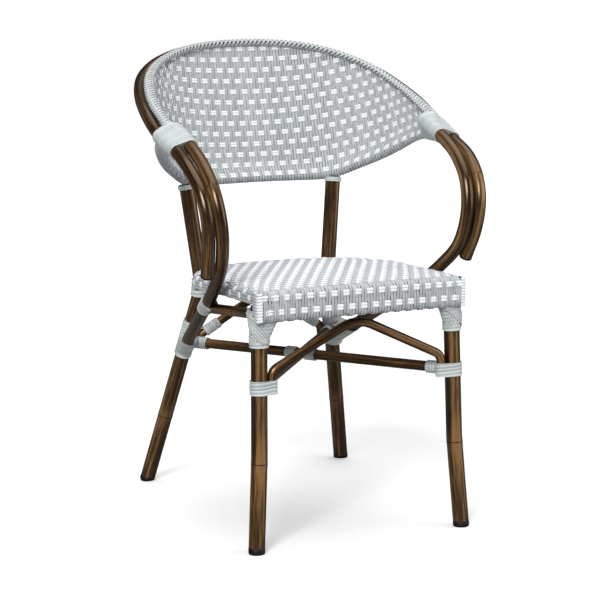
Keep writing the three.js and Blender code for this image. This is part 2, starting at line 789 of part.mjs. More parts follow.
function jointLash(side, rooms) {
  const from = rearLegAt(stretcherHeight - jointLashDrop);
  const to = rearLegAt(mix(stretcherHeight, seatLashBottom, jointLashTopShare));
  const root = innerFoot.clone().lerp(innerLead, jointLashReachShare);
  return {
    from,
    to,
    members: [[rearLegRoute, legRadius], [[from, root, to], armRadius]],
    cutters: [rooms.rearLeg, rooms.innerArm, rearArchRoom, side < 0 ? cutStretcherRoom : wholeStretcherRoom],
  };
}

function collar(side, rooms) {
  const top = railMidHeight + railKneeRise - rollRadius;
  return {
    from: rearLegAt(top - collarHeight),
    to: rearLegAt(top),
    members: [[rearLegRoute, legRadius]],
    cutters: [rooms.rearLeg, rollRoom],
  };
}

// The arm lashing closes from the tips of the rim and lower rail down to the inner arm
function armLash(side, rooms) {
  const innerStart = innerArmRoute.slice(0, innerArmSteps / 2);
  const innerEnd = crossing(innerStart, armLashEnd, armLashWay);
  return {
    from: armLashStart,
    to: armLashEnd,
    members: [
      [hoopRoute, armRadius],
      [innerStart, armRadius],
      [[backRailHalf[0], innerEnd], rollRadius],
      [[rimHalf[0], innerEnd], braidHalfHeight],
    ],
    cutters: [hoopRoom, rooms.innerArm],
  };
}

function sideLash(side, rooms) {
  const along = innerFoot.clone().sub(innerLead).normalize();
  const from = innerLead.clone().addScaledVector(along, -sideLashStart);
  const to = from.clone().addScaledVector(along, sideLashLength);
  const railPoint = sideRailRoute[0].clone().sub(innerLead).setLength(sideLashReach).add(innerLead);
  return {
    from,
    to,
    members: [[innerArmRoute.slice(innerArmSteps / 2), armRadius], [[railPoint, to], railRadius]],
    cutters: [rooms.innerArm, rooms.sideRail],
  };
}

// Lashing on a stretch of straight tube, starting some way from one end
function straightLash(route, start, length, radius, cutters) {
  const along = tangentAt(route, 0);
  const from = route[0].clone().addScaledVector(along, start);
  const to = from.clone().addScaledVector(along, length);
  return { from, to, members: [[route, radius]], cutters };
}

function addLash(name, { from, to, members, cutters }, side) {
  const turns = Math.max(2, Math.round(from.distanceTo(to) / turnWidth));
  const [start, end] = onSide([from, to], side);
  const bound = members.map(([stations, radius]) => [onSide(stations, side), radius]);
  add(name, cut(lashing(start, end, bound, turns, lashThickness), cutters), strand());
}

// Room for a finished lashing where another one meets it
function lashRoom({ from, to, members }, side) {
  const [start, end] = onSide([from, to], side);
  const bound = members.map(([stations, radius]) => [onSide(stations, side), radius]);
  return solid(lashing(start, end, bound, 2, lashThickness + turnBulge + clearance));
}

function addSideLashings(label, side) {
  const rooms = roomsOn[label];
  addLash(`lash_knee_${label}`, kneeLash(side, rooms), side);
  addLash(`lash_arch_${label}`, archLash(side, rooms), side);
  addLash(`lash_seat_${label}`, seatLash(side, rooms), side);
  addLash(`lash_joint_${label}`, jointLash(side, rooms), side);
  addLash(`lash_collar_${label}`, collar(side, rooms), side);
  addLash(`lash_arm_${label}`, armLash(side, rooms), side);
  addLash(`lash_side_${label}`, sideLash(side, rooms), side);
  const frontRoom = side < 0 ? wholeStretcherRoom : cutStretcherRoom;
  const rearRoom = side < 0 ? cutStretcherRoom : wholeStretcherRoom;
  const frontCutters = [frontRoom, rooms.frontLeg, frontArchRoom, lashRoom(archLash(side, rooms), side)];
  const rearCutters = [rearRoom, rooms.rearLeg, rooms.innerArm, lashRoom(jointLash(side, rooms), side)];
  const frontEnd = [stretcherFront, stretcherCross];
  const rearEnd = [stretcherRear, stretcherCross];
  const slope = [rearArch.knee, rearArch.peak];
  addLash(`lash_stretcher_front_${label}`, straightLash(
    frontEnd, stretcherLashStart, stretcherLashLength, railRadius, frontCutters), side);
  addLash(`lash_stretcher_rear_${label}`, straightLash(
    rearEnd, stretcherLashStart, stretcherLashLength, railRadius, [...rearCutters, rearArchRoom]), side);
  addLash(`lash_slope_${label}`, straightLash(
    slope, slopeLashStart, slopeLashLength, archRadius, [rearArchRoom]), side);
}

// Lashings on the cut stretcher, either side of the crossing
function addMiddleLashings() {
  const cutters = [cutStretcherRoom, wholeStretcherRoom];
  const ends = { rear: cutStretcher[0], front: cutStretcher[1] };
  Object.keys(ends).forEach((label) => {
    const route = [stretcherCross, ends[label]];
    addLash(`lash_middle_${label}`, straightLash(
      route, middleLashStart, middleLashLength, railRadius, cutters), 1);
  });
}

sides.forEach(([label, side]) => addSideFrame(label, side));
addCrossFrame();
addBack();
addSeat();
addSeatBar();
sides.forEach(([label, side]) => addSideLashings(label, side));
addMiddleLashings();

export default chair;
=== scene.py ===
"""Rattan bistro armchair: woven seat and barrel back on bent, bamboo-painted tube."""
import bpy
import numpy as np
from bpy.props import FloatProperty, FloatVectorProperty, PointerProperty
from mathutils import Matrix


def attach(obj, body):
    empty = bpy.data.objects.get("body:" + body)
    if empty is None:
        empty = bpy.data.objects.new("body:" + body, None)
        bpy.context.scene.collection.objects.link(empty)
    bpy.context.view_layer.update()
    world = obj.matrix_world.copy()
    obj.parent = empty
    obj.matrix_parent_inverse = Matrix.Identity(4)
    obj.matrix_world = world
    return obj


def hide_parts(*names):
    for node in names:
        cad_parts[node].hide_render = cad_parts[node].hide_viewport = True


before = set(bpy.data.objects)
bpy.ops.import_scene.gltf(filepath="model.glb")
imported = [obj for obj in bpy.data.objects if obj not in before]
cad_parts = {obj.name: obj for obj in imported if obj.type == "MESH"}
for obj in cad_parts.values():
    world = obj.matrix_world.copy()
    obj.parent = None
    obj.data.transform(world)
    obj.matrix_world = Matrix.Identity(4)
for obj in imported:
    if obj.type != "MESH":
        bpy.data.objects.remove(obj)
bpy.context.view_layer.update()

bl_info = {
    "name": "Rattan Bistro Armchair",
    "version": (1, 0, 0),
    "blender": (4, 5, 0),
    "location": "View3D > Sidebar > Chair",
    "description": "Builds a woven bistro armchair on a bent tube frame",
    "category": "Add Mesh",
}

BODY = "root"
MM = 0.001
SIDES = (("left", -1), ("right", 1))
UP = np.array((0.0, 0.0, 1.0))

# Sizes, in millimetres
CLEARANCE = 0.3
BACK_RAIL_R, SEAT_BAR_R, SEAT_BAR_INSET = 7.0, 10.5, 16.5
ROLL_R = 10.3
FOOT_CAP, FOOT_CAP_COVER, ARM_CAP, CAP_PROUD = 10.0, 12.0, 4.0, 0.2
FOOT_CHAMFER, ARM_CHAMFER = 4.2, 1.8
FRONT_RING, REAR_RING, HOOP_RING_FROM_END, ARM_RING = 143.0, 131.0, 154.0, 169.0
RING_HEIGHT, RING_REACH, NO_RING = 0.35, 3.0, 1e4

FRONT_LEG = np.array(((195, -267, 0), (184.5, -258, 160), (179.5, -251, 420.3)), float)
REAR_LEG = np.array(((206, 260, 0), (128, 150, 389), (149, 168, 578.7)), float)
FRONT_BEND, REAR_BEND = 420.0, 130.0

RIM_X = 254 * np.array((1, .992, .945, .874, .78, .669, .492, .256, 0))
RIM_Y = -30 + 283 * np.array((0, .258, .474, .629, .742, .829, .915, .979, 1))
RIM_Z = 706 + 125 * np.array((0, .24, .448, .616, .736, .832, .928, .984, 1))
RIM_HALF = np.stack((RIM_X, RIM_Y, RIM_Z), 1)
WING_W = np.array((1, .986, .798, .573, .291, 0))
WING_D = np.array((1, .832, .595, .378, .184, 0))
WING_H = np.array((1, .966, .678, .425, .218, 0))
LEVEL_W = np.array((.738, .403, 0))
LEVEL_D = np.array((.52, .185, 0))
WING = np.stack((149 + 106.5 * WING_W, 168 - 185 * WING_D, 584 + 87 * WING_H), 1)
LEVEL = np.stack((149 * LEVEL_W, 195 - 27 * LEVEL_D, np.full(3, 582.0)), 1)
BACK_RAIL_HALF = np.vstack((WING, LEVEL))

HOOP_DROP, HOOP_TIP_DROP, HOOP_TIP_SPACING, HOOP_SPACING = 7.0, 18.0, 15.0, 17.3
OUTER_ARM = np.stack((
    263 - 18 * np.array((1, .67, .44, .22, 0, 0)),
    -104 - 111 * np.array((.73, .946, 1, .838, .486, 0)),
    663 - 197 * np.array((1, .741, .492, .279, .117, 0))), 1)
INNER_ARM = np.stack((
    240 - 25.5 * np.array((0, .04, .08, .2, .41, .66, 1)),
    -45 - 170 * np.array((0, .29, .676, .924, 1, .9, .618)),
    692 - 244 * np.array((0, .07, .201, .381, .602, .824, 1))), 1)
INNER_BEND = np.array((203.0, -82.0, 404.0))
INNER_LEAD_SHARE = 0.13
INNER_FOOT_Z, INNER_FOOT_X = 260.0, 3.0

SIDE_RAIL_Z, FRONT_RAIL_Y, FRONT_RAIL_Z, FRONT_RAIL_X = 405.0, -268.7, 407.3, 187.7
REAR_RAIL_Z, STRETCHER_Z = 394.0, 281.0
ARCH_FOOT_Z, ARCH_SPACING, ARCH_KNEE_BEND, ARCH_PEAK_BEND = 269.0, 22.3, 20.0, 62.0
FRONT_ARCH = (308.0, 385.0)
REAR_ARCH = (290.0, 372.0)

# The seat's outline and section
SEAT_FRONT, SEAT_DEPTH, SEAT_HALF = -281.0, 431.0, 199.0
SEAT_SHARES_X = np.array((.962, .968, .973, .972, .974, .99, 1, .985, .905, .755, .555, .3, 0))
SEAT_SHARES_Y = np.array((.037, .13, .25, .36, .46, .54, .62, .69, .775, .875, .942, .985, 1))
SEAT_CORNER_X = 191.0
SEAT_TOP_Z, SEAT_SLOPE, SEAT_CROWN, SEAT_EDGE_R = 448.0, 0.0416, 3.4, 9.0
FRONT_SKIRT, SIDE_SKIRT = 53.0, 25.3

# The weave
STRAND_PITCH = 5.485
PAIR_OFFSET = 0.415
SEAT_WHITE_SHARE, SEAT_PAIR_OFFSET = 1.0, 0.44
BACK_FIRST_ROW, BACK_ROW_PITCH, BACK_ROW_GROWTH = 4.0, 19.25, 0.065
BACK_PITCH, BACK_SHIFT, BACK_SHEAR = 5.885, 5.0, 5.0
SEAT_ROW_PITCH, SKIRT_ROW_PITCH, SEAT_FIRST_ROW, SEAT_ROWS_END = 20.9, 24.1, -256.1, 140.0
SKIRT_TUCK, BINDING_THICKNESS = 10.6, 1.9

# Braid, lashings and bars
BRAID_HIGH, BRAID_DEEP, BRAID_AHEAD, BRAID_SINK, BRAID_WING_DEPTH = 5.4, 7.4, 1.5, 3.0, 1.6
# The black bars' radius and spacing on this line are for painted shade inside the braid.
RIM_OVERRUN, RAIL_REACH, SHADOW_CORE_R, SHADOW_CORE_SPACING = 8.0, 778.0, 3.3, 5.2
ARM_CUT_Z = 600.0
ARM_LASH, ARM_LASH_TURN, RIM_HELD_R = (1.0, 74.0), 7.0, 6.5
SIDE_LASH, SIDE_LASH_TURN, SIDE_GUIDE = (-4.0, 36.0), 6.0, (24.0, 18.0)
ARCH_OVERRUN, JOINT_SHIFT = 16.0, (0, -9.0, 0)
KNEE_SLANT, KNEE_SLANT_SIDE = 0.75, 0.07
BULGE, LOW_BULGE, RIDGE_POWER, END_HOLLOW = 1.2, 0.7, 0.6, 8.0
BAND_WIDTH, BAND_THICKNESS = 4.3, 1.7
BRAID_STEP, BRAID_WAVE, BRAID_THICKNESS = 1.1, 0.8, 1.7
STRETCHER_CROSS_SINE, STRETCHER_TRIM = 0.85, 0.2
KNEE_GUIDES = ((179.5, -229.0), (157.5, -261.62))
STRETCHER_LASH_START, SLOPE_LASH_START, BAR_LASH_LENGTH = 16.0, 14.0, 32.0
MIDDLE_LASH_START, MIDDLE_LASH_LENGTH, BAR_LASH_TURN = 9.0, 21.0, 5.4

# How finely lines are drawn, and how square the strands' waves are
LINE_SAMPLES, TUBE_STEP, EDGE_STEP, SECTION_STEP = 2401, 4.0, 3.0, 0.5
BACK_STATIONS, SEAT_STATIONS, SEAT_ROW_STATIONS, SIDE_STATIONS = 92, 176, 200, 420
LASH_SIDES, LASH_ROWS_A_TURN = 56, 8
GREY_GAIN, WHITE_GAIN = 1.6, 2.2


# Lines in space
def unit(v):
    """The same ways, each one long."""
    return v / np.linalg.norm(v, axis=-1, keepdims=True)


def mirrored(points):
    """Points on the chair's other side."""
    return points * np.array((-1.0, 1.0, 1.0))


def on_side(points, side):
    """Points of the +X half, on the side whose sign is given."""
    return points * np.array((float(side), 1.0, 1.0))


def whole(half):
    """Line from the -X end to the +X end, from its half that starts at the +X tip."""
    return np.vstack((mirrored(half), half[-2::-1]))


def spline(points, places):
    """Centripetal Catmull-Rom line: cubic spans whose knots are the roots of the chords."""
    ends = np.vstack((2 * points[0] - points[1], points, 2 * points[-1] - points[-2]))
    place = np.clip(places, 0, 1) * (len(points) - 1)
    i = np.minimum(place.astype(int), len(points) - 2)
    w = (place - i)[:, None]
    a, b, c, d = ends[i], ends[i + 1], ends[i + 2], ends[i + 3]
    chords = (b - a, c - b, d - c)
    k0, k1, k2 = (np.sqrt(np.linalg.norm(chord, axis=1))[:, None] for chord in chords)
    t1 = ((b - a) / k0 - (c - a) / (k0 + k1) + (c - b) / k1) * k1
    t2 = ((c - b) / k1 - (d - b) / (k1 + k2) + (d - c) / k2) * k1
    return (b + t1 * w + (3 * (c - b) - 2 * t1 - t2) * w ** 2
            + (2 * (b - c) + t1 + t2) * w ** 3)


def lengths(path):
    """Length along a line at each of its points: the sum of its chords so far."""
    return np.concatenate(([0.0], np.cumsum(np.linalg.norm(np.diff(path, axis=0), axis=1))))


def at_length(path, places):
    """Points of a line at lengths along it."""
    s = lengths(path)
    return np.stack([np.interp(places, s, path[:, k]) for k in range(path.shape[1])], 1)


def at_share(table, shares):
    """Rows of a table of evenly spread points, read at shares of its whole length."""
    places = np.linspace(0, 1, len(table))
    return np.stack([np.interp(shares, places, table[:, k]) for k in range(table.shape[1])], 1)


def even(path, step):
    """The same line with its points spread evenly along its length."""
    total = lengths(path)[-1]
    return at_length(path, np.linspace(0, total, max(2, int(round(total / step)) + 1)))


def fine_line(points):
    """Smooth line through points, with a station each millimetre."""
    return even(spline(points, np.linspace(0, 1, LINE_SAMPLES)), 1.0)


def smooth_line(points, step=TUBE_STEP):
    """Smooth line through points, with stations a tube's step apart."""
    return even(spline(points, np.linspace(0, 1, 64 * len(points))), step)


def bent(corners, radius, steps=10):
    """Straight runs joined by arcs of one radius: each arc turns from run to run."""
    out = [corners[:1]]
    for a, b, c in zip(corners[:-2], corners[1:-1], corners[2:]):
        u, v = unit(a - b), unit(c - b)
        half = 0.5 * np.arccos(np.clip(u @ v, -1, 1))
        reach = radius / np.tan(half)
        centre = b + unit(u + v) * radius / np.sin(half)
        p, q = b + u * reach - centre, b + v * reach - centre
        turn = np.pi - 2 * half
        t = np.linspace(0, 1, steps + 1)[:, None]
        out.append(centre + (np.sin((1 - t) * turn) * p + np.sin(t * turn) * q) / np.sin(turn))
    out.append(corners[-1:])
    return np.vstack(out)


def at_height(path, z):
    """Point of a rising line at a height."""
    order = np.argsort(path[:, 2])
    return np.array((np.interp(z, path[order, 2], path[order, 0]),
                     np.interp(z, path[order, 2], path[order, 1]), z))


def eased(path, width):
    """The same stations with their corners eased: a running mean under a bell curve, with each
    end turned about its own point so that it stays where it is."""
    reach = 3 * width
    weights = np.exp(-0.5 * (np.arange(-reach, reach + 1) / width) ** 2)
    before = 2 * path[0] - path[reach:0:-1]
    after = 2 * path[-1] - path[-2:-reach - 2:-1]
    long = np.vstack((before, path, after))
    return np.stack([np.convolve(long[:, k], weights / weights.sum(), "valid") for k in range(3)], 1)


def tangents(path):
    """Way of a line at each point: from the point before to the point after."""
    d = np.empty_like(path)
    d[1:-1] = path[2:] - path[:-2]
    d[0], d[-1] = path[1] - path[0], path[-1] - path[-2]
    return unit(d)


def frames(path):
    """Frames that ride along a line without twist: a rough frame's twist is summed and undone."""
    t = tangents(path)
    axis = np.eye(3)[np.argmin(np.abs(t), axis=1)]
    n = unit(np.cross(t, axis))
    b = np.cross(t, n)
    v = np.cross(t[:-1], t[1:])
    c = np.sum(t[:-1] * t[1:], 1)[:, None]
    moved = n[:-1] * c + np.cross(v, n[:-1]) + v * np.sum(v * n[:-1], 1)[:, None] / (1 + c)
    step = np.arctan2(np.sum(moved * b[1:], 1), np.sum(moved * n[1:], 1))
    turn = np.concatenate(([0.0], np.cumsum(step)))[:, None]
    m = n * np.cos(turn) + b * np.sin(turn)
    return m, np.cross(t, m)


# Routes of the frame
FRONT_ROUTE = bent(FRONT_LEG, FRONT_BEND)
REAR_ROUTE = bent(REAR_LEG, REAR_BEND)


def hoop_route():
    """Half of the hoop: the outer arm, then a line outside and below the rim. Towards the middle
    it lies further out and less far down."""
    tangent = tangents(RIM_HALF)
    tangent[-1] = (-1, 0, 0)
    outward = unit(np.stack((tangent[:, 1], -tangent[:, 0], np.zeros(len(tangent))), 1))
    share = np.linspace(0, 1, len(RIM_HALF))[:, None]
    spacing = HOOP_TIP_SPACING + (HOOP_SPACING - HOOP_TIP_SPACING) * share
    drop = HOOP_TIP_DROP + (HOOP_DROP - HOOP_TIP_DROP) * np.sqrt(share)
    return np.vstack((OUTER_ARM, RIM_HALF + outward * spacing - UP * drop))


HOOP_HALF = hoop_route()
HOOP_TIP = HOOP_HALF[len(OUTER_ARM)]
TIP_WAY = unit(HOOP_HALF[len(OUTER_ARM) - 1] - HOOP_TIP)
INNER_FOOT = at_height(REAR_ROUTE, INNER_FOOT_Z) + (INNER_FOOT_X, 0, 0)
INNER_LEAD = INNER_BEND + (INNER_FOOT - INNER_BEND) * INNER_LEAD_SHARE
INNER_ROUTE = np.vstack((smooth_line(np.vstack((INNER_ARM, INNER_BEND, INNER_LEAD))), INNER_FOOT))


def arch_corners(leg, knee_z, peak_z):
    """Foot, knee and peak of an arch that stands beside a leg, a fixed way from it."""
    foot, knee = at_height(leg, ARCH_FOOT_Z), at_height(leg, knee_z)
    along = unit(knee - foot)
    spacing = ARCH_SPACING / np.hypot(along[1], along[2])
    peak = np.array((0.0, at_height(leg, peak_z)[1], peak_z))
    return foot - (spacing, 0, 0), knee - (spacing, 0, 0), peak


def arch_route(leg, knee_z, peak_z):
    """Whole arch: up one leg, over a rounded crest and down the other."""
    foot, knee, peak = arch_corners(leg, knee_z, peak_z)
    rise = bent(np.array((foot, knee, peak)), ARCH_KNEE_BEND)[:-1]
    crest = bent(np.array((mirrored(knee), peak, knee)), ARCH_PEAK_BEND)[1:-1]
    return np.vstack((mirrored(rise), crest, rise[::-1]))


FRONT_ARCH_ROUTE = arch_route(FRONT_ROUTE, *FRONT_ARCH)
REAR_ARCH_ROUTE = arch_route(REAR_ROUTE, *REAR_ARCH)
STRETCHER_FRONT = at_height(FRONT_ROUTE, STRETCHER_Z)
STRETCHER_REAR = at_height(REAR_ROUTE, STRETCHER_Z)
STRETCHER_CROSS = mirrored(STRETCHER_REAR) + (STRETCHER_FRONT - mirrored(STRETCHER_REAR)) * (
    STRETCHER_REAR[0] / (STRETCHER_REAR[0] + STRETCHER_FRONT[0]))
RIM_LINE = whole(RIM_HALF)
RAIL_LINE = whole(BACK_RAIL_HALF)

# Lashings on the legs: the leg, the two heights between which they run, and one turn's width
LEG_LASHINGS = {
    "knee": (FRONT_ROUTE, 350.0, 412.0, 6.0), "arch": (FRONT_ROUTE, 270.0, 294.0, 6.7),
    "seat": (REAR_ROUTE, 371.0, 401.0, 7.5), "joint": (REAR_ROUTE, 256.0, 302.0, 6.0),
    "joint_top": (REAR_ROUTE, 301.0, 322.0, 6.0), "collar": (REAR_ROUTE, 569.0, 577.5, 4.5),
}


# Meshes
def grid_faces(rows, columns, around):
    """Quads of a grid of points, row by row, closed round its columns if asked."""
    i = np.arange(rows - 1)[:, None] * columns
    j = np.arange(columns if around else columns - 1)[None, :]
    k = (j + 1) % columns
    return np.stack((i + j, i + k, i + columns + k, i + columns + j), -1).reshape(-1, 4)


def fan(ring, centre, flip):
    """Triangles from one middle point to a ring of points."""
    nxt = np.roll(ring, -1)
    tri = np.stack((np.full(len(ring), centre), ring, nxt), 1)
    return tri[:, ::-1] if flip else tri


def end_fans(sides, count):
    """Fans over both ends of a swept grid, to the two middle points that follow its own."""
    ring = np.arange(sides)
    return np.vstack((fan(ring, count, True), fan(ring + count - sides, count + 1, False)))


def put_mesh(name, points, quads, tris, material, values=None, sharp=None):
    """Mesh from whole arrays of points and faces, with point attributes for the materials."""
    mesh = bpy.data.meshes.new(name)
    points = np.ascontiguousarray(points, dtype=np.float32) * MM
    quads = np.asarray(quads, dtype=np.int32).reshape(-1, 4)
    tris = np.asarray(tris, dtype=np.int32).reshape(-1, 3)
    mesh.vertices.add(len(points))
    mesh.vertices.foreach_set("co", points.ravel())
    corners = np.concatenate((quads.ravel(), tris.ravel()))
    sizes = np.concatenate((np.full(len(quads), 4), np.full(len(tris), 3)))
    mesh.loops.add(len(corners))
    mesh.loops.foreach_set("vertex_index", corners)
    mesh.polygons.add(len(sizes))
    mesh.polygons.foreach_set("loop_start", np.concatenate(([0], np.cumsum(sizes)[:-1])))
    mesh.polygons.foreach_set("use_smooth", np.ones(len(sizes), dtype=bool))
    for key, value in (values or {}).items():
        value = np.asarray(value, dtype=np.float32)
        kind = "FLOAT" if value.ndim == 1 else "FLOAT_VECTOR"
        layer = mesh.attributes.new(key, kind, "POINT")
        layer.data.foreach_set("value" if value.ndim == 1 else "vector", value.ravel())
    mesh.update(calc_edges=True)
    if sharp:
        mesh.set_sharp_from_angle(angle=np.radians(sharp))
    if mesh.validate():
        raise RuntimeError(name + " has faulty faces")
    piece = bpy.data.objects.new(name, mesh)
    bpy.context.scene.collection.objects.link(piece)
    mesh.materials.append(material)
    return piece


def finish_piece(piece, slot, *nodes):
    """Fixes a piece to the frame and hides the CAD nodes it stands for."""
    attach(piece, BODY)
    if nodes:
        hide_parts(*nodes)
    return piece


def bar(name, path, radius, material, sides=28, rings=(), closed=False):
    """Round bar: a circle carried along a line; a node ring swells it where rings says."""
    if rings:
        marks = np.add.outer(rings, np.linspace(-RING_REACH, RING_REACH, 13)).ravel()
        path = at_length(path, np.union1d(lengths(path), marks))
    if closed:
        way = tangents(np.vstack((path[-1:], path, path[:1])))[1:-1]
        m = unit(np.cross(way, UP))
        b = np.cross(way, m)
    else:
        m, b = frames(path)
    angle = np.linspace(0, 2 * np.pi, sides, endpoint=False)
    s = lengths(path)
    near = np.min(np.abs(s[:, None] - np.array(rings or (NO_RING,))[None, :]), axis=1)
    swell = radius + RING_HEIGHT * np.exp(-(near / RING_REACH) ** 2)
    ring = np.cos(angle)[None, :, None] * m[:, None] + np.sin(angle)[None, :, None] * b[:, None]
    points = path[:, None] + ring * swell[:, None, None]
    grain = np.stack(np.broadcast_arrays(
        radius * np.cos(angle)[None, :], radius * np.sin(angle)[None, :], s[:, None]), -1)
    points, grain = points.reshape(-1, 3), grain.reshape(-1, 3)
    near = np.repeat(near, sides)
    count = len(points)
    quads = grid_faces(len(path), sides, True)
    if closed:
        first = np.arange(sides)
        last = first + count - sides
        quads = np.vstack((quads, np.stack((last, np.roll(last, -1), np.roll(first, -1), first), 1)))
        tris = np.zeros((0, 3))
    else:
        points = np.vstack((points, path[:1], path[-1:]))
        grain = np.vstack((grain, [(0, 0, 0)], [(0, 0, s[-1])]))
        near = np.concatenate((near, near[[0, -1]]))
        tris = end_fans(sides, count)
    values = {"grain": grain * MM, "ring": near * MM}
    return put_mesh(name, points, quads, tris, material, values, sharp=50)


def strand_profile(width, thickness):
    """Flat strand's section: a flat back and a rounded face, as shares of width and thickness."""
    shape = np.array(((-.5, -.35), (-.36, .3), (0, .5), (.36, .3), (.5, -.35), (0, -.5)))
    return shape * (width, thickness)


def strands(name, centres, across, out, widths, material, thickness, seed):
    """Flat strands: one section carried along many lines at once, (line, station) arrays."""
    lines, stations = centres.shape[:2]
    shape = strand_profile(1.0, thickness)
    sides = len(shape)
    wide = np.broadcast_to(widths, (lines, stations))[..., None, None]
    points = (centres[:, :, None] + across[:, :, None] * shape[None, None, :, :1] * wide
              + out[:, :, None] * shape[None, None, :, 1:])
    step = np.linalg.norm(np.diff(centres, axis=1), axis=2)
    s = np.concatenate((np.zeros((lines, 1)), np.cumsum(step, axis=1)), 1)
    tone = np.random.default_rng(seed).random(lines)
    # The first value, the place across the strand, is where the strand material paints shade towards its
    # edges.
    lay = np.stack(np.broadcast_arrays(shape[None, None, :, 0], s[:, :, None] * MM,
                                       tone[:, None, None]), -1)
    block = stations * sides
    base = (np.arange(lines) * block)[:, None, None]
    quads = (grid_faces(stations, sides, True)[None] + base).reshape(-1, 4)
    corner = np.arange(1, sides - 1)
    start = np.stack((0 * corner, corner + 1, corner), 1)
    end = np.stack((0 * corner, corner, corner + 1), 1) + block - sides
    tris = (np.vstack((start, end))[None] + base).reshape(-1, 3)
    values = {"lay": lay.reshape(-1, 3)}
    return put_mesh(name, points.reshape(-1, 3), quads, tris, material, values, sharp=80)


def squared(centres, out):
    """Ways along, across and out of strands, with across and out square to each strand."""
    along = unit(np.gradient(centres, axis=1))
    across = unit(np.cross(along, out))
    return along, across, unit(np.cross(across, along))


def flat_wave(x, gain=GREY_GAIN):
    """Over and under: a cosine with flattened tops, one half turn for each crossing."""
    return np.tanh(gain * np.cos(np.pi * x)) / np.tanh(gain)


# Materials
def new_group(name, inputs, outputs):
    tree = bpy.data.node_groups.new(name, "ShaderNodeTree")
    for kind, sockets in (("INPUT", inputs), ("OUTPUT", outputs)):
        for label, socket, default in sockets:
            item = tree.interface.new_socket(label, in_out=kind, socket_type="NodeSocket" + socket)
            if default is not None:
                item.default_value = default
    return tree, tree.nodes.new("NodeGroupInput"), tree.nodes.new("NodeGroupOutput")


def node(tree, kind, settings=None, **inputs):
    """Adds a node, sets its own settings and its inputs; an input that is a socket is linked."""
    item = tree.nodes.new("ShaderNode" + kind)
    for key, value in (settings or {}).items():
        setattr(item, key, value)
    for key, value in inputs.items():
        numbered = key[0] == "i" and key[1:].isdigit()
        socket = item.inputs[int(key[1:]) if numbered else key.replace("_", " ")]
        if isinstance(value, bpy.types.NodeSocket):
            tree.links.new(value, socket)
        else:
            socket.default_value = value
    return item


def calc(tree, operation, *values):
    """One arithmetic node on numbers or sockets."""
    inputs = {f"i{k}": value for k, value in enumerate(values)}
    return node(tree, "Math", {"operation": operation}, **inputs).outputs[0]


def remap(tree, value, low=0.0, high=1.0, to_low=0.0, to_high=1.0, smooth=False):
    """Carries the range low to high over to to_low to to_high, straight or eased at both ends."""
    kind = {"interpolation_type": "SMOOTHSTEP" if smooth else "LINEAR"}
    return node(tree, "MapRange", kind, i0=value, i1=low, i2=high, i3=to_low, i4=to_high).outputs[0]


def blend(tree, share, first, second):
    """Mix of two colours."""
    return node(tree, "Mix", {"data_type": "RGBA"}, i0=share, i6=first, i7=second).outputs[2]


def scaled(tree, colour, share):
    """A colour made darker or lighter by a share."""
    return node(tree, "VectorMath", {"operation": "SCALE"}, i0=colour, Scale=share).outputs[0]


def drawn_out(tree, place, share):
    """A place whose third part counts less, so that noise on it is drawn out along that way."""
    return node(tree, "VectorMath", {"operation": "MULTIPLY"}, i0=place, i1=(1.0, 1.0, share)).outputs[0]


def noise(tree, place, scale, detail, **more):
    """Grey noise at a place."""
    return node(tree, "TexNoise", Vector=place, Scale=scale, Detail=detail, **more).outputs["Fac"]


def ramp(tree, value, stops):
    """Colours at places along a value, blended between."""
    item = node(tree, "ValToRGB", Fac=value)
    points = item.color_ramp.elements
    while len(points) < len(stops):
        points.new(0.5)
    for point, (place, colour) in zip(points, stops):
        point.position = place
        point.color = (*colour, 1.0) if len(colour) == 3 else colour
    return item.outputs["Color"]


def grey(value):
    return (value, value, value)


def new_material(name, roughness=0.5, **settings):
    material = bpy.data.materials.new(name)
    material.use_nodes = True
    tree = material.node_tree
    shader = tree.nodes["Principled BSDF"]
    shader.inputs["Roughness"].default_value = roughness
    for key, value in settings.items():
        shader.inputs[key.replace("_", " ")].default_value = value
    return material, tree, shader


def grain_group():
    """Cane grain: noise drawn out along the tube, in streaks, flames and fine lines."""
    tree, enter, leave = new_group("Cane grain", (
        ("Dark", "Color", (0.02, 0.01, 0.005, 1)), ("Mid", "Color", (0.1, 0.05, 0.02, 1)),
        ("Light", "Color", (0.25, 0.13, 0.05, 1))),
        (("Color", "Color", None), ("Height", "Float", None), ("Streak", "Float", None)))
    place = node(tree, "Attribute", {"attribute_name": "grain"}).outputs["Vector"]
    ring = node(tree, "Attribute", {"attribute_name": "ring"}).outputs["Fac"]
    broad = noise(tree, drawn_out(tree, place, 0.045), 105.0, 3.0, Roughness=0.55, Distortion=0.15)
    fine = noise(tree, drawn_out(tree, place, 0.03), 700.0, 2.0, Roughness=0.6)
    flame = remap(tree, ring, 0.0, 0.055, 0.08, 0.0, smooth=True)
    mix = calc(tree, "MULTIPLY_ADD", fine, 0.35, calc(tree, "ADD", broad, flame))
    streak = remap(tree, mix, 0.52, 0.85)
    base = blend(tree, remap(tree, streak, 0.05, 0.45), enter.outputs["Dark"], enter.outputs["Mid"])
    cane = blend(tree, remap(tree, streak, 0.5, 0.95), base, enter.outputs["Light"])
    line = remap(tree, ring, 0.0004, 0.0014, smooth=True)
    feed(tree, leave, Color=blend(tree, line, enter.outputs["Dark"], cane),
         Height=calc(tree, "MULTIPLY_ADD", line, 1.5, fine), Streak=streak)
    return tree


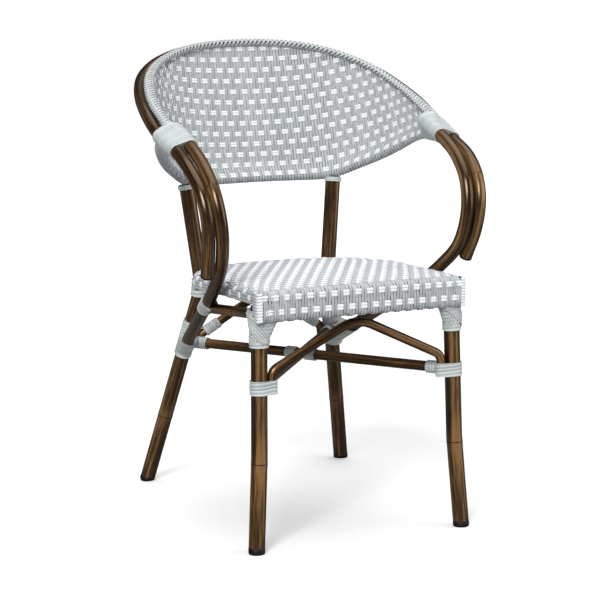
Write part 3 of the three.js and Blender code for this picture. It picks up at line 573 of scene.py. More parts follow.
def strand_group():
    """Strand tone: each strand a little lighter or darker, fine lines drawn along it, and painted shade
    towards its edges.
    """
    tree, enter, leave = new_group("Strand tone", (
        ("Tone", "Color", (0.5, 0.5, 0.5, 1)), ("Shade", "Color", (0.3, 0.3, 0.3, 1)),
        ("Spread", "Float", 0.5), ("Edge", "Float", 0.5)),
        (("Color", "Color", None), ("Height", "Float", None), ("Rough", "Float", None)))
    lay = node(tree, "Attribute", {"attribute_name": "lay"}).outputs["Vector"]
    side, along, tone = node(tree, "SeparateXYZ", Vector=lay).outputs
    drawn = node(tree, "CombineXYZ", X=side, Y=calc(tree, "MULTIPLY", along, 6.0),
                 Z=calc(tree, "MULTIPLY", tone, 40.0)).outputs[0]
    lines, cloud = noise(tree, drawn, 9.0, 2.0), noise(tree, drawn, 0.9, 1.0)
    share = remap(tree, calc(tree, "MULTIPLY_ADD", tone, 0.5, cloud), 0.3, 1.1)
    spread = calc(tree, "MULTIPLY", share, enter.outputs["Spread"])
    colour = blend(tree, spread, enter.outputs["Tone"], enter.outputs["Shade"])
    # Painted shade: the colour darkens towards each strand's edges, down to the edge share, standing in for
    # the shadow in the gaps between strands and in a lashing's groove between turns.
    groove = remap(tree, calc(tree, "ABSOLUTE", side), 0.27, 0.5, 1.0, enter.outputs["Edge"], smooth=True)
    grained = remap(tree, lines, 0.3, 0.7, 0.93, 1.04)
    dim = calc(tree, "MULTIPLY", groove, grained)
    feed(tree, leave, Color=scaled(tree, colour, dim), Height=lines,
         Rough=remap(tree, lines, 0.2, 0.8, 0.38, 0.58))
    return tree


def feed(tree, target, **sources):
    """Links sockets to inputs by name."""
    for key, source in sources.items():
        tree.links.new(source, target.inputs[key.replace("_", " ")])


def use_group(tree, group, **inputs):
    item = tree.nodes.new("ShaderNodeGroup")
    item.node_tree = group
    for key, value in inputs.items():
        item.inputs[key].default_value = value
    return item


def bump(tree, height, distance, strength=1.0):
    return node(tree, "Bump", Height=height, Distance=distance, Strength=strength).outputs[0]


def get_group(name, make):
    """The node group of that name, made the first time it is asked for."""
    return bpy.data.node_groups.get(name) or make()


def cane_paint(settings):
    """Brown paint streaked like cane, with painted shade towards its sides: darker where it is seen at a
    slant.
    """
    known = bpy.data.materials.get("Bamboo paint")
    if known:
        return known
    material, tree, shader = new_material("Bamboo paint", Specular_IOR_Level=1.0,
                                          Specular_Tint=(1.0, 0.76, 0.5, 1), Metallic=0.2)
    cane = use_group(tree, get_group("Cane grain", grain_group), Dark=(*settings.paint_dark, 1),
                     Mid=(*settings.paint_mid, 1), Light=(*settings.paint_light, 1))
    # Painted shade: the base colour darkens where the surface is seen at a slant, standing in for dark
    # surroundings reflected at the tubes' sides.
    facing = node(tree, "LayerWeight", Blend=0.5).outputs["Facing"]
    edge = remap(tree, facing, 0.2, 0.85, 1.0, 0.3, smooth=True)
    feed(tree, shader, Base_Color=scaled(tree, cane.outputs["Color"], edge),
         Roughness=remap(tree, cane.outputs["Streak"], to_low=0.23, to_high=0.32),
         Normal=bump(tree, cane.outputs["Height"], 0.0002, 0.6))
    return material


PAINTED_SHEEN = (0.585, 0.597, 0.64, 1)


def strand_material(name, tone, shade, spread, edge, pale=0.0):
    """Plastic strand with a painted sheen: it turns pale where it is seen at a slant."""
    known = bpy.data.materials.get(name)
    if known:
        return known
    material, tree, shader = new_material(name)
    group = use_group(tree, get_group("Strand tone", strand_group), Tone=(*tone, 1), Shade=(*shade, 1),
                      Spread=spread, Edge=edge)
    # Painted sheen: at grazing angles the colour is blended towards a pale tone, by the share pale, standing
    # in for bright surroundings reflected off the strands.
    facing = node(tree, "LayerWeight", Blend=0.5).outputs["Facing"]
    painted_sheen = remap(tree, facing, 0.5, 0.88, 0.0, pale, smooth=True)
    colour = blend(tree, painted_sheen, group.outputs["Color"], PAINTED_SHEEN)
    feed(tree, shader, Base_Color=colour, Roughness=group.outputs["Rough"],
         Normal=bump(tree, group.outputs["Height"], 0.00012, 0.6))
    return material


# In each strand material below, the edge share sets the painted shade in the gaps between strands, and the
# last number, where given, the strength of the painted sheen at a slant.
def grey_strand(settings):
    return strand_material("Grey strand", settings.grey, settings.grey_shade, 0.8, 0.42, 0.85)


def white_strand(settings):
    return strand_material("White strand", settings.white, settings.white_shade, 0.5, 0.88, 0.93)


def lash_strand(settings):
    return strand_material("Lashing strand", settings.lashing, settings.grey_shade, 0.5, 0.62)


def braid_strand(settings):
    return strand_material("Braid strand", settings.lashing, settings.grey_shade, 0.5, 0.35)


def black_plastic():
    """Dull black plastic with a fine uneven face."""
    known = bpy.data.materials.get("Black plastic")
    if known:
        return known
    material, tree, shader = new_material("Black plastic", roughness=0.5, Specular_IOR_Level=0.25)
    place = node(tree, "TexCoord").outputs["Object"]
    fine, broad = noise(tree, place, 900.0, 3.0), noise(tree, place, 40.0, 2.0)
    tone = ramp(tree, broad, ((0.3, grey(0.003)), (0.7, grey(0.008))))
    feed(tree, shader, Base_Color=tone, Roughness=remap(tree, broad, to_low=0.38, to_high=0.6),
         Normal=bump(tree, fine, 0.0001, 0.5))
    return material


# The woven back
BACK_PAIRS = 77
RAIL_EASE = 20
ROLL_HIGH, LEAN_FADE, MOST_LEAN = 24.0, 20.0, 1.6
TOP_GAP, ROW_TOP_GAP, SHORTEST_COLUMN, SHORTEST_ROW, FEWEST_PLACES = 3.0, 5.0, 12.0, 14.0, 60
SOLVE_STEPS, SOLVE_SHARE = 12, 0.7


ROW_BELLS = ((0, 6.5), (47, 105))
ROW_SHARES = ((7, 11), (1.0, 0.4))


def row_shape(j):
    """How a crosswise row smooths the rail's bends: the bell's width, and how much it counts."""
    return int(np.interp(j, *ROW_BELLS)), float(np.interp(j, *ROW_SHARES))


class Back:
    """The panel: straight lines from the lower rail to the rim, paired by their length from the
    middle so that the strands lie side by side. Past the rail's tips they start on the straight
    line from the rail's tip to the rim's."""

    def __init__(self, thickness):
        self.rim = fine_line(RIM_LINE)
        rail = eased(fine_line(RAIL_LINE), RAIL_EASE)
        reach, rail_reach = lengths(self.rim)[-1] / 2, lengths(rail)[-1] / 2
        self.d = np.linspace(-reach, reach, len(self.rim))
        self.past = np.clip((np.abs(self.d) - rail_reach) / (reach - rail_reach), 0, 1)
        sheared = self.d + BACK_SHEAR * (1 - (self.d / reach) ** 2)
        spot = (np.clip(sheared, -rail_reach, rail_reach) / rail_reach + 1) / 2
        start = at_share(rail, spot)
        tip = np.where(self.d[:, None] < 0, self.rim[0], self.rim[-1])
        self.base = start + (tip - start) * self.past[:, None]
        rise = self.rim - self.base
        self.height = np.linalg.norm(rise, axis=1)
        self.over = rise / np.maximum(self.height, 1.0)[:, None]
        self.over[[0, -1]] = self.over[[1, -2]]
        way = at_share(tangents(rail), spot) * (1 - self.past)[:, None]
        self.along = unit(way + tangents(self.rim) * self.past[:, None])
        self.front = unit(np.cross(self.along, self.over))
        lean = 1 / np.linalg.norm(np.cross(self.over, self.along), axis=1)
        self.lean = 1 + (np.minimum(lean, MOST_LEAN) - 1) * (self.past == 0)
        self.radius = ROLL_R - thickness / 2 - 0.1
        self.touch = np.arccos(self.radius / ROLL_HIGH)
        self.numbers = np.arange(-1, 14)
        self.rows = np.stack([self.row_height(j, rail, spot, start) for j in self.numbers])

    def row_height(self, j, rail, spot, start):
        """Height of row j along the panel: even steps up its middle, and towards the wings the
        rail's line with its bends smoothed, less the rail's own line."""
        width, share = row_shape(max(j, 0))
        lift = np.sum((at_share(eased(rail, width), spot) - start) * self.over, axis=1)
        lift -= np.sum((self.base - start) * self.over, axis=1)
        level = BACK_FIRST_ROW + j * (BACK_ROW_PITCH + j * BACK_ROW_GROWTH)
        return level + share * (lift - lift[len(lift) // 2])

    def at(self, table, d):
        """A table's row at a length from the middle."""
        return np.stack([np.interp(d, self.d, table[:, k]) for k in range(3)], -1)

    def raised(self, s, lean):
        """Height of a place s up a strand once the roll's loop is drawn out along a leaning strand."""
        fade = np.exp(-(s - ROLL_HIGH) / LEAN_FADE)
        return np.where(s < ROLL_HIGH, s * lean, s + ROLL_HIGH * (lean - 1) * fade)

    def place(self, d, n, up):
        """Point n in front of the panel and up along its strand, at d from the middle."""
        over, front = unit(self.at(self.over, d)), unit(self.at(self.front, d))
        return self.at(self.base, d) + over * up[..., None] + front * n[..., None], over, front

    def column_section(self, total, rolled):
        """Side view (in front, up) of one strand: down the panel, round the rail and up behind;
        a strand past the rail's tip runs straight down into the lashing."""
        arc = np.linspace(self.touch, 2 * np.pi - self.touch, 19)
        loop = np.stack((self.radius * np.sin(arc), self.radius * np.cos(arc)), 1)
        if rolled:
            line = np.vstack(((0.0, total), (0.0, ROLL_HIGH), loop, (-1.5, ROLL_HIGH - 2.0)))
        else:
            line = np.array(((0.0, total), (0.0, -6.0)))
        line = even(line, SECTION_STEP)
        return at_length(line, np.linspace(0, lengths(line)[-1], BACK_STATIONS))

    def front_line(self):
        """The same front face from the roll's bottom to the top, as a table by height."""
        arc = np.linspace(np.pi, self.touch, 40)
        loop = np.stack((self.radius * np.sin(arc), self.radius * np.cos(arc)), 1)
        line = even(np.vstack((loop, (0.0, ROLL_HIGH), (0.0, 400.0))), 0.4)
        d = unit(np.gradient(line, axis=0))
        return line[:, 1], line[:, 0], np.stack((d[:, 1], -d[:, 0]), 1)


def back_columns(back, width, thickness, material):
    """Lengthwise grey strands of the back: at one pitch, each waved by a flattened cosine of the
    row number found at its own height."""
    u = np.arange(2 * BACK_PAIRS) + 0.5
    d = (u - BACK_PAIRS) * BACK_PITCH + BACK_SHIFT
    height = np.interp(d, back.d, back.height) - TOP_GAP
    kept = height > SHORTEST_COLUMN
    u, d, height = u[kept], d[kept], height[kept]
    rolled = np.interp(np.abs(d), back.d, back.past) == 0
    section = np.stack([back.column_section(h, r) for h, r in zip(height, rolled)])
    way = unit(np.gradient(section, axis=1))
    normal = np.stack((-way[..., 1], way[..., 0]), -1)
    dd = np.broadcast_to(d[:, None], section.shape[:2])
    lean = np.interp(dd, back.d, back.lean)
    up = back.raised(section[..., 1], lean)
    tables = np.stack([np.interp(d, back.d, row) for row in back.rows], 1)
    row = np.stack([np.interp(a, table, back.numbers) for a, table in zip(up, tables)])
    rear = np.cumsum(normal[..., 0] < -0.2, axis=1) > 0
    wave = flat_wave(row + np.floor(u / 2)[:, None]) * thickness / 2 * ((section[..., 1] > -8) & ~rear)
    section = section + normal * wave[..., None]
    centres, over, front = back.place(dd, section[..., 0], back.raised(section[..., 1], lean))
    out = over * normal[..., 1:] + front * normal[..., :1]
    along, across, out = squared(centres, out)
    step = np.diff(centres, axis=0)
    step = step - along[1:] * np.sum(step * along[1:], axis=2, keepdims=True)
    gap = np.linalg.norm(step, axis=2)
    gap = np.vstack((gap[:1], 0.5 * (gap[1:] + gap[:-1]), gap[-1:]))
    widths = np.clip(gap, 2.5, BACK_PITCH) * width
    return strands("back_strands_grey", centres, across, out, widths, material, thickness, seed=3)


def back_rows(back, width, thickness, material):
    """Crosswise white pairs of the back: each follows its row's height from wing to wing and is
    waved the other way, over one pair of grey strands and under the next."""
    heights, fronts, normals = back.front_line()
    stations = 4 * BACK_PAIRS + 1
    centres, out = [], []
    for j, row in zip(back.numbers[1:], back.rows[1:]):
        for k in (-1, 1):
            s_all = row + k * PAIR_OFFSET * STRAND_PITCH
            inside = np.nonzero((back.height - ROW_TOP_GAP > s_all) & (back.height > SHORTEST_ROW))[0]
            if len(inside) < FEWEST_PLACES:
                continue
            d = np.linspace(back.d[inside[0]], back.d[inside[-1]], stations)
            up = np.interp(d, back.d, s_all)
            lean, past = np.interp(d, back.d, back.lean), np.interp(d, back.d, back.past)
            s = up.copy()
            for _ in range(SOLVE_STEPS):
                s = s + SOLVE_SHARE * (up - back.raised(s, lean))
            base = np.interp(s, heights, fronts) * (past == 0)
            normal = np.stack([np.interp(s, heights, normals[:, i]) for i in (0, 1)], 1)
            normal = unit(np.where((past == 0)[:, None], normal, (1.0, 0.0)))
            number = ((d - BACK_SHIFT) / BACK_PITCH + BACK_PAIRS - 1) / 2 + j
            wave = -flat_wave(number, WHITE_GAIN) * thickness / 2
            p, over, front = back.place(d, base + normal[:, 0] * wave, up + normal[:, 1] * wave)
            centres.append(p)
            out.append(over * normal[:, 1:] + front * normal[:, :1])
    centres = np.stack(centres)
    _, across, out = squared(centres, np.stack(out))
    width = width * STRAND_PITCH
    return strands("back_strands_white", centres, across, out, width, material, thickness, seed=4)


# The woven seat
def seat_line():
    """Half of the seat's outline, from the front corner round to the middle of the rear."""
    half = np.stack((SEAT_HALF * SEAT_SHARES_X, SEAT_FRONT + SEAT_DEPTH * SEAT_SHARES_Y), 1)
    return np.vstack(((SEAT_CORNER_X, SEAT_FRONT), half))


SEAT_EDGE = seat_line()


def seat_edge_x(y):
    """Half width of the seat at a depth."""
    return np.interp(y, SEAT_EDGE[:, 1], SEAT_EDGE[:, 0])


def seat_edge_y(x):
    """Depth of the seat's rear edge at a place across it."""
    tail = SEAT_EDGE[7:][::-1]
    return np.interp(np.abs(x), tail[:, 0], tail[:, 1])


def seat_top(y):
    """Height of the seat's top at a depth: it falls evenly to the rear."""
    return SEAT_TOP_Z - SEAT_SLOPE * (y - SEAT_FRONT)


def crown(x, y):
    """Seat's swell: highest in the middle, nothing at its edge."""
    across = np.clip(1 - (x / seat_edge_x(y)) ** 2, 0, 1)
    deep = np.clip(1 - ((y - SEAT_FRONT) / SEAT_DEPTH * 2 - 1) ** 2, 0, 1)
    return SEAT_CROWN * np.sqrt(across * deep)


def edge_section(first, last, skirt_a, skirt_b, thickness, top):
    """Side view of a strand over the seat: up one skirt, over the rounded edge, across the top
    and down the other, each end turned in round its rail."""
    r, tuck = SEAT_EDGE_R - thickness, SKIRT_TUCK

    def end(at, sign, skirt):
        z0 = top(at)
        turn = np.linspace(np.pi, 0, 9)[:, None]
        low = z0 - skirt + tuck
        hook = np.hstack((at + sign * tuck * (1 + np.cos(turn)), low - tuck * np.sin(turn)))
        arc = np.linspace(0, np.pi / 2, 7)[:, None]
        edge = np.hstack((at + sign * r * (1 - np.cos(arc)), z0 - SEAT_EDGE_R + r * np.sin(arc)))
        return np.vstack((hook[::-1][:-1], (at, low), edge))

    a, b = end(first + thickness, 1, skirt_a), end(last - thickness, -1, skirt_b)
    middle = np.linspace(a[-1, 0], b[-1, 0], 60)[1:-1]
    return np.vstack((a, np.stack((middle, top(middle)), 1), b[::-1]))


SEAT_PAIRS = 35
SEAT_LINES = 2 * SEAT_PAIRS
SEAT_STRAIGHT, SEAT_LAST = 125.0, (SEAT_PAIRS - 0.5) * STRAND_PITCH
SKIRT_ROW_Z = (411.0, 435.0)


def seat_y_rows():
    """Depths of the crosswise pairs on the seat's top."""
    return np.arange(SEAT_FIRST_ROW, SEAT_ROWS_END, SEAT_ROW_PITCH)


def seat_shift(y):
    """How far the outermost strands run inside their straight place, so as to follow the edge."""
    return np.maximum(seat_edge_x(y) - SEAT_HALF, -8.0)


def strand_place(x, y):
    """Where a lengthwise strand lies: straight in the seat's middle, beside the edge at its sides."""
    share = np.clip((np.abs(x) - SEAT_STRAIGHT) / (SEAT_LAST - SEAT_STRAIGHT), 0, 1)
    return x + np.sign(x) * seat_shift(y) * share


def strand_number(s, y):
    """The same turned round: the number of the lengthwise strand at a length s along a row."""
    reach, shift = float(seat_edge_x(y)), float(seat_shift(y))
    inner = min(SEAT_LAST + shift, reach - 12.0)
    if inner > SEAT_STRAIGHT + 4.0:
        at, nominal = [0.0, SEAT_STRAIGHT, inner], [0.0, SEAT_STRAIGHT, inner - shift]
    else:
        at, nominal = [0.0, inner], [0.0, inner]
    at += [reach - SEAT_HALF + SEAT_LAST, reach + 60.0]
    nominal += [SEAT_LAST, SEAT_LAST + 60.0 + SEAT_HALF - SEAT_LAST]
    return np.sign(s) * np.interp(np.abs(s), at, nominal) / STRAND_PITCH + SEAT_PAIRS


def row_number(line):
    """Row number along a lengthwise strand: whole numbers where a crosswise pair meets it, two
    rows on the front skirt and the rest across the top."""
    y, z = line[:, 0], line[:, 1]
    s = lengths(line)
    low = s[np.argmin(np.abs(z[:30] - SKIRT_ROW_Z[0]))]
    tops = np.interp(seat_y_rows(), y, s)
    tops = tops[seat_y_rows() < y.max() - 4.0]
    rows = np.concatenate(((low - SKIRT_ROW_PITCH, low, low + SKIRT_ROW_PITCH), tops,
                           tops[-1] + SEAT_ROW_PITCH * np.arange(1, 4)))
    return np.interp(s, rows, np.arange(len(rows)) - 1.0)


def seat_columns(thickness, cover, material):
    """Lengthwise grey strands: up the front skirt, across the top and down behind, each rising
    over and diving under the crosswise rows in turn."""
    numbers = np.arange(SEAT_LINES)
    centres, waves = [], []
    for c, xc in zip(numbers, (numbers + 0.5 - SEAT_PAIRS) * STRAND_PITCH):
        def top(y):
            x = strand_place(xc, y)
            return seat_top(y) - thickness + crown(x, y) - edge_drop(x, y)

        rear = seat_edge_y(strand_place(xc, 60.0))
        line = edge_section(SEAT_FRONT, rear, FRONT_SKIRT, SIDE_SKIRT, thickness, top)
        line = at_length(even(line, SECTION_STEP), np.linspace(0, lengths(line)[-1], SEAT_STATIONS))
        centres.append(np.stack((strand_place(xc, line[:, 0]), line[:, 0], line[:, 1]), 1))
        waves.append(flat_wave(row_number(line) + c // 2))
    centres, waves = np.stack(centres), np.stack(waves)
    along = unit(np.gradient(centres, axis=1))
    across = np.broadcast_to((1.0, 0, 0), centres.shape)
    out = unit(np.cross(across, along))
    centres = centres + out * (waves * thickness / 2)[..., None]
    width = STRAND_PITCH * cover
    return strands("seat_strands_grey", centres, across, out, width, material, thickness, seed=5)


def edge_drop(x, y):
    """How far the rounded edge lies below the top, at a place near the seat's side."""
    d = np.clip(seat_edge_x(y) - np.abs(x), 0, SEAT_EDGE_R)
    return SEAT_EDGE_R - np.sqrt(SEAT_EDGE_R ** 2 - (SEAT_EDGE_R - d) ** 2)


def seat_rows(thickness, material):
    """Crosswise white pairs: over the top from side to side and down both side skirts."""
    centres, waves = [], []
    for j, y0 in enumerate(seat_y_rows()):
        for k in (-1, 1):
            y = y0 + k * SEAT_PAIR_OFFSET * STRAND_PITCH
            reach = float(seat_edge_x(y))
            if reach < 40:
                continue
            line = edge_section(-reach, reach, SIDE_SKIRT, SIDE_SKIRT, thickness,
                                lambda x: seat_top(y) - thickness + crown(x, np.full_like(x, y)))
            places = np.linspace(0, lengths(line)[-1], SEAT_ROW_STATIONS)
            line = at_length(even(line, SECTION_STEP), places)
            u = strand_number(lengths(line) - lengths(line)[-1] / 2, y)
            centres.append(np.stack((line[:, 0], np.full(len(line), y), line[:, 1]), 1))
            waves.append(-flat_wave((u - 1) / 2 + j, WHITE_GAIN))
    centres, waves = np.stack(centres), np.stack(waves)
    along = unit(np.gradient(centres, axis=1))
    across = np.broadcast_to((0, 1.0, 0), centres.shape)
    out = unit(np.cross(along, across))
    centres = centres + out * (waves * thickness / 2)[..., None]
    width = SEAT_WHITE_SHARE * STRAND_PITCH
    return strands("seat_strands_white", centres, across, out, width, material, thickness, seed=6)


def skirt_rows(thickness, material):
    """Two white pairs along the front skirt, over and under the grey strands in turn."""
    stations = 6 * SEAT_PAIRS + 1
    x = np.linspace(-SEAT_CORNER_X + 2, SEAT_CORNER_X - 2, stations)
    u = x / STRAND_PITCH + SEAT_PAIRS
    centres = []
    for j, z0 in enumerate(SKIRT_ROW_Z):
        for k in (-1, 1):
            wave = -flat_wave((u - 1) / 2 + j, WHITE_GAIN) * thickness / 2
            y = SEAT_FRONT + thickness - wave
            z = np.full(stations, z0 + k * SEAT_PAIR_OFFSET * STRAND_PITCH)
            centres.append(np.stack((x, y, z), 1))
    centres = np.stack(centres)
    across = np.broadcast_to((0, 0, 1.0), centres.shape)
    out = np.broadcast_to((0, -1.0, 0), centres.shape)
    width = SEAT_WHITE_SHARE * STRAND_PITCH
    return strands("skirt_strands_white", centres, across, out, width, material, thickness, seed=7)


def side_strands(thickness, cover, material):
    """Grey strands beside the outermost lengthwise ones: they follow the seat's outline over
    its rounded edge and down the side skirt."""
    half = even(SEAT_EDGE, EDGE_STEP)
    line = np.vstack((half, half[-2::-1] * (-1, 1)))
    line = at_length(line, np.linspace(0, lengths(line)[-1], SIDE_STATIONS))
    t = unit(np.gradient(line, axis=0))
    outward = np.stack((t[:, 1], -t[:, 0], np.zeros(len(t))), 1)
    behind = np.clip((outward[:, 1] - 0.5) / 0.3, 0, 1) * thickness
    number = (line[:, 1] - seat_y_rows()[0]) / SEAT_ROW_PITCH
    first = SEAT_EDGE_R - SEAT_HALF + SEAT_LAST
    centres, across, out = [], [], []
    for k in range(5):
        s = first + (k + 1) * STRAND_PITCH
        turn = min(s / SEAT_EDGE_R, np.pi / 2)
        low = max(0.0, s - SEAT_EDGE_R * np.pi / 2)
        normal = outward * np.sin(turn) + UP * np.cos(turn)
        wave = flat_wave(number + SEAT_PAIRS + k // 2) * thickness / 2
        depth = thickness - wave + behind
        inset, drop = SEAT_EDGE_R * (1 - np.sin(turn)), SEAT_EDGE_R * (1 - np.cos(turn)) + low
        face = np.stack((line[:, 0], line[:, 1], seat_top(line[:, 1]) - drop), 1) - outward * inset
        centres.append(face - normal * depth[:, None])
        out.append(normal)
        across.append(UP * np.sin(turn) - outward * np.cos(turn))
    return strands("seat_side_strands", np.stack(centres), np.stack(across), np.stack(out),
                   STRAND_PITCH * cover, material, thickness, seed=8)


def corner_binding(name, side, cover, material):
    """White strands bound round the front corner, one above another: each runs along the front
    face, turns the corner on an arc and runs back along the side."""
    radius, proud, front, back, beside = 5.0, 0.8, 3.0, 20.0, 1.6
    pitch, rows, raised, deepest, tilted = 4.95, 10, 2.6, 3.5, 1.2
    z = SEAT_TOP_Z - FRONT_SKIRT + raised + np.arange(rows) * pitch
    low = np.clip(z - (SEAT_TOP_Z - SEAT_EDGE_R), 0, SEAT_EDGE_R - 1)
    inset = np.minimum(SEAT_EDGE_R - np.sqrt(SEAT_EDGE_R ** 2 - low ** 2), deepest)
    arc = np.linspace(0, np.pi / 2, 9)
    x0, y0 = SEAT_CORNER_X + beside - radius, SEAT_FRONT + radius
    plan = np.vstack(((x0 - front, SEAT_FRONT + 3.0), (x0 - front + 1.0, SEAT_FRONT),
                      np.stack((x0 + radius * np.sin(arc), y0 - radius * np.cos(arc)), 1),
                      (x0 + radius, y0 + back - 2.0), (x0 + radius - 3.0, y0 + back)))
    normal = np.vstack(((0, -1), (0, -1), np.stack((np.sin(arc), -np.cos(arc)), 1), (1, 0), (1, 0)))
    ways = np.stack([plan + normal * (proud - i) for i in inset])
    stations = ways.shape[1]
    tilt = np.linspace(tilted, -tilted, stations)
    centres = np.dstack((ways, z[:, None] + tilt))
    out = np.broadcast_to(np.hstack((normal, np.zeros((stations, 1)))), centres.shape)
    across = np.broadcast_to(UP, centres.shape)
    centres, out = centres * (side, 1, 1), out * (side, 1, 1)
    if side > 0:
        across = -across
    return strands(name, centres, across, out, pitch * cover, material, BINDING_THICKNESS, seed=10)


# Braid and lashings
def rim_frame(step):
    """The rim, run on into the arms, with its ways over (up its panel) and to the face, and a
    share that grows from nothing in the middle to one at the wings' tips."""
    rim = spline(RIM_LINE, np.linspace(0, 1, LINE_SAMPLES))
    way = TIP_WAY * RIM_OVERRUN
    rim = even(np.vstack((rim[0] + way * (-1, 1, 1), rim, rim[-1] + way)), step)
    share = np.linspace(0, 1, len(rim))
    rail = at_length(fine_line(RAIL_LINE), share * RAIL_REACH)
    along = tangents(rim)
    face = unit(np.cross(along, unit(rim - rail)))
    wing = (np.abs(np.linspace(-1, 1, len(rim))) ** 2)[:, None]
    return rim, np.cross(face, along), face, wing


def braid(lead, width, material):
    """Round braid over the rim: four strands wind each way round an oval, q counting the
    crossings; a strand rides out for two crossings and in for two, as a cosine of q."""
    rim, over, face, wing = rim_frame(BRAID_STEP)
    s = lengths(rim)
    rim = rim + face * (BRAID_AHEAD - BRAID_SINK * wing)
    high, deep = BRAID_HIGH, BRAID_DEEP + BRAID_WING_DEPTH * wing[:, 0]
    q = 8 * s / lead
    centres, out = [], []
    for hand in (1, -1):
        for i in range(4):
            angle = hand * 2 * np.pi * s / lead + np.pi / 2 * i
            number = q + 2 * i if hand > 0 else 2 * i - q
            wave = hand * BRAID_WAVE * np.cos(np.pi / 2 * (number - 0.5))
            a, b = (high + wave) * np.cos(angle), (deep + wave) * np.sin(angle)
            centres.append(rim + over * a[:, None] + face * b[:, None])
            normal = over * (deep * np.cos(angle))[:, None] + face * (high * np.sin(angle))[:, None]
            out.append(unit(normal))
    centres = np.stack(centres)
    _, across, out = squared(centres, np.stack(out))
    return strands("rim_braid", centres, across, out, width, material, BRAID_THICKNESS, seed=9)


def hull_outline(circles, count):
    """Band drawn tight round circles: for each direction the circle that reaches furthest."""
    angle = np.linspace(0, 2 * np.pi, 361)[:-1]
    d = np.stack((np.cos(angle), np.sin(angle)), 1)
    reach = np.stack([(c @ d.T) + r for c, r in circles])
    pick = np.argmax(reach, axis=0)
    centres, radii = np.array([c for c, _ in circles]), np.array([r for _, r in circles])
    points = centres[pick] + radii[pick, None] * d
    loop = np.vstack((points, points[:1]))
    s = lengths(loop)
    places = np.linspace(0, s[-1], count, endpoint=False)
    spots = at_length(loop, places)
    ways = np.vstack((d, d[:1]))
    normal = np.stack([np.interp(places, s, ways[:, k]) for k in (0, 1)], 1)
    return spots, unit(normal), places


def crossing(path, point, normal):
    """Where a line meets a plane: the meeting nearest the point, or the end nearest the plane."""
    side = (path - point) @ normal
    hits = np.nonzero(side[:-1] * side[1:] <= 0)[0]
    if not len(hits):
        k = np.argmin(np.abs(side))
        return path[k] - normal * side[k]
    share = side[hits] / (side[hits] - side[hits + 1] + 1e-12)
    spots = path[hits] + (path[hits + 1] - path[hits]) * share[:, None]
    return spots[np.argmin(np.linalg.norm(spots - point, axis=1))]


def lashing(name, start, end, members, material, turn, thick, bulge=BULGE, crossed=None):
    """Strand wound round its members: a tight band whose face rises and falls once a turn,
    with the groove running round it as a helix."""
    start, end = np.asarray(start, float), np.asarray(end, float)
    axis = end - start
    total = np.linalg.norm(axis)
    along = axis / total
    hint = np.array((1.0, 0, 0)) if abs(along[2]) > abs(along[0]) else UP
    across = unit(hint - along * (hint @ along))
    over = np.cross(along, across)
    turns = max(2, int(round(total / turn)))
    rows, around = turns * LASH_ROWS_A_TURN + 1, LASH_SIDES
    share = np.linspace(0, 1, rows)
    points, lay = [], []
    for w in share:
        centre = start + axis * w
        circles = []
        for path, radius in members:
            off = crossing(path, centre, along) - centre
            circles.append((np.array((off @ across, off @ over)), radius))
        spots, normal, places = hull_outline(circles, around)
        phase = w * turns - np.arange(around) / around
        ridge = np.abs(np.sin(np.pi * phase)) ** RIDGE_POWER
        grow = thick - bulge + bulge * ridge
        spots = spots + normal * grow[:, None]
        points.append(centre + across * spots[:, :1] + over * spots[:, 1:])
        number = np.floor(phase)
        outermost = (number < 1) | (number > turns - 2)
        tone = np.where(outermost, 0.0, 0.35 + 0.65 * (number * 0.37 % 1.0))
        # The first value grows to one half in the groove between turns, where the strand material paints
        # shade.
        lay.append(np.stack((np.abs(phase % 1.0 - 0.5), places * MM, tone), 1))
    points, lay = np.stack(points), np.stack(lay)
    hollow = min(END_HOLLOW, total / 3)
    caps = points[[0, -1]].mean(axis=1) + along * ((hollow,), (-hollow,))
    flat = np.vstack((points.reshape(-1, 3), caps))
    values = np.vstack((lay.reshape(-1, 3), np.zeros((2, 3))))
    quads, tris = grid_faces(rows, around, True), end_fans(around, rows * around)
    piece = put_mesh(name, flat, quads, tris, material, {"lay": values}, sharp=75)
    return piece, crossed and crossed_strands(name + "_crossed", points, crossed, material)


def on_sleeve(points, w, p):
    """Point on a wound sleeve at a share w of its length and a share p of the way round it."""
    rows, around = points.shape[:2]
    a, b = np.clip(w, 0, 1) * (rows - 1), (p % 1.0) * around
    i, j = np.minimum(a.astype(int), rows - 2), b.astype(int)
    u, v = (a - i)[..., None], (b - j)[..., None]
    k, j = (j + 1) % around, j % around
    return ((points[i, j] * (1 - v) + points[i, k] * v) * (1 - u)
            + (points[i + 1, j] * (1 - v) + points[i + 1, k] * v) * u)


def crossed_strands(name, points, middle, material):
    """Two bands of strands laid slantwise over a sleeve, one across the other: straight lines in
    length and way round, lifted off it and tucked in at both ends."""
    stations, count, pitch, reach, ease = 40, 5, 0.047, 0.2, 0.1
    bottom, rise_share, round_step, up_step = 0.05, 0.93, 0.02, 0.03
    share = np.linspace(0, 1, stations)[None, :]
    lift = np.clip(np.minimum(share, 1 - share) / ease, 0, 1)
    centres, across, out = [], [], []
    for hand, rise in ((1, 0.4), (-1, 1.5)):
        place = (np.arange(count)[:, None] - (count - 1) / 2) * pitch
        w = bottom + rise_share * share + 0 * place
        p = middle + hand * reach * (2 * share - 1) + place
        on = on_sleeve(points, w, p)
        way_round = on_sleeve(points, w, p + round_step) - on_sleeve(points, w, p - round_step)
        way_up = on_sleeve(points, w + up_step, p) - on_sleeve(points, w - up_step, p)
        normal = unit(np.cross(way_round, way_up))
        centre = on + normal * ((rise + 1.0) * lift - 1.0)[..., None]
        along = unit(np.gradient(centre, axis=1))
        centres.append(centre)
        across.append(unit(np.cross(along, normal)))
        out.append(normal)
    return strands(name, np.vstack(centres), np.vstack(across), np.vstack(out), BAND_WIDTH, material,
                   BAND_THICKNESS, seed=11)


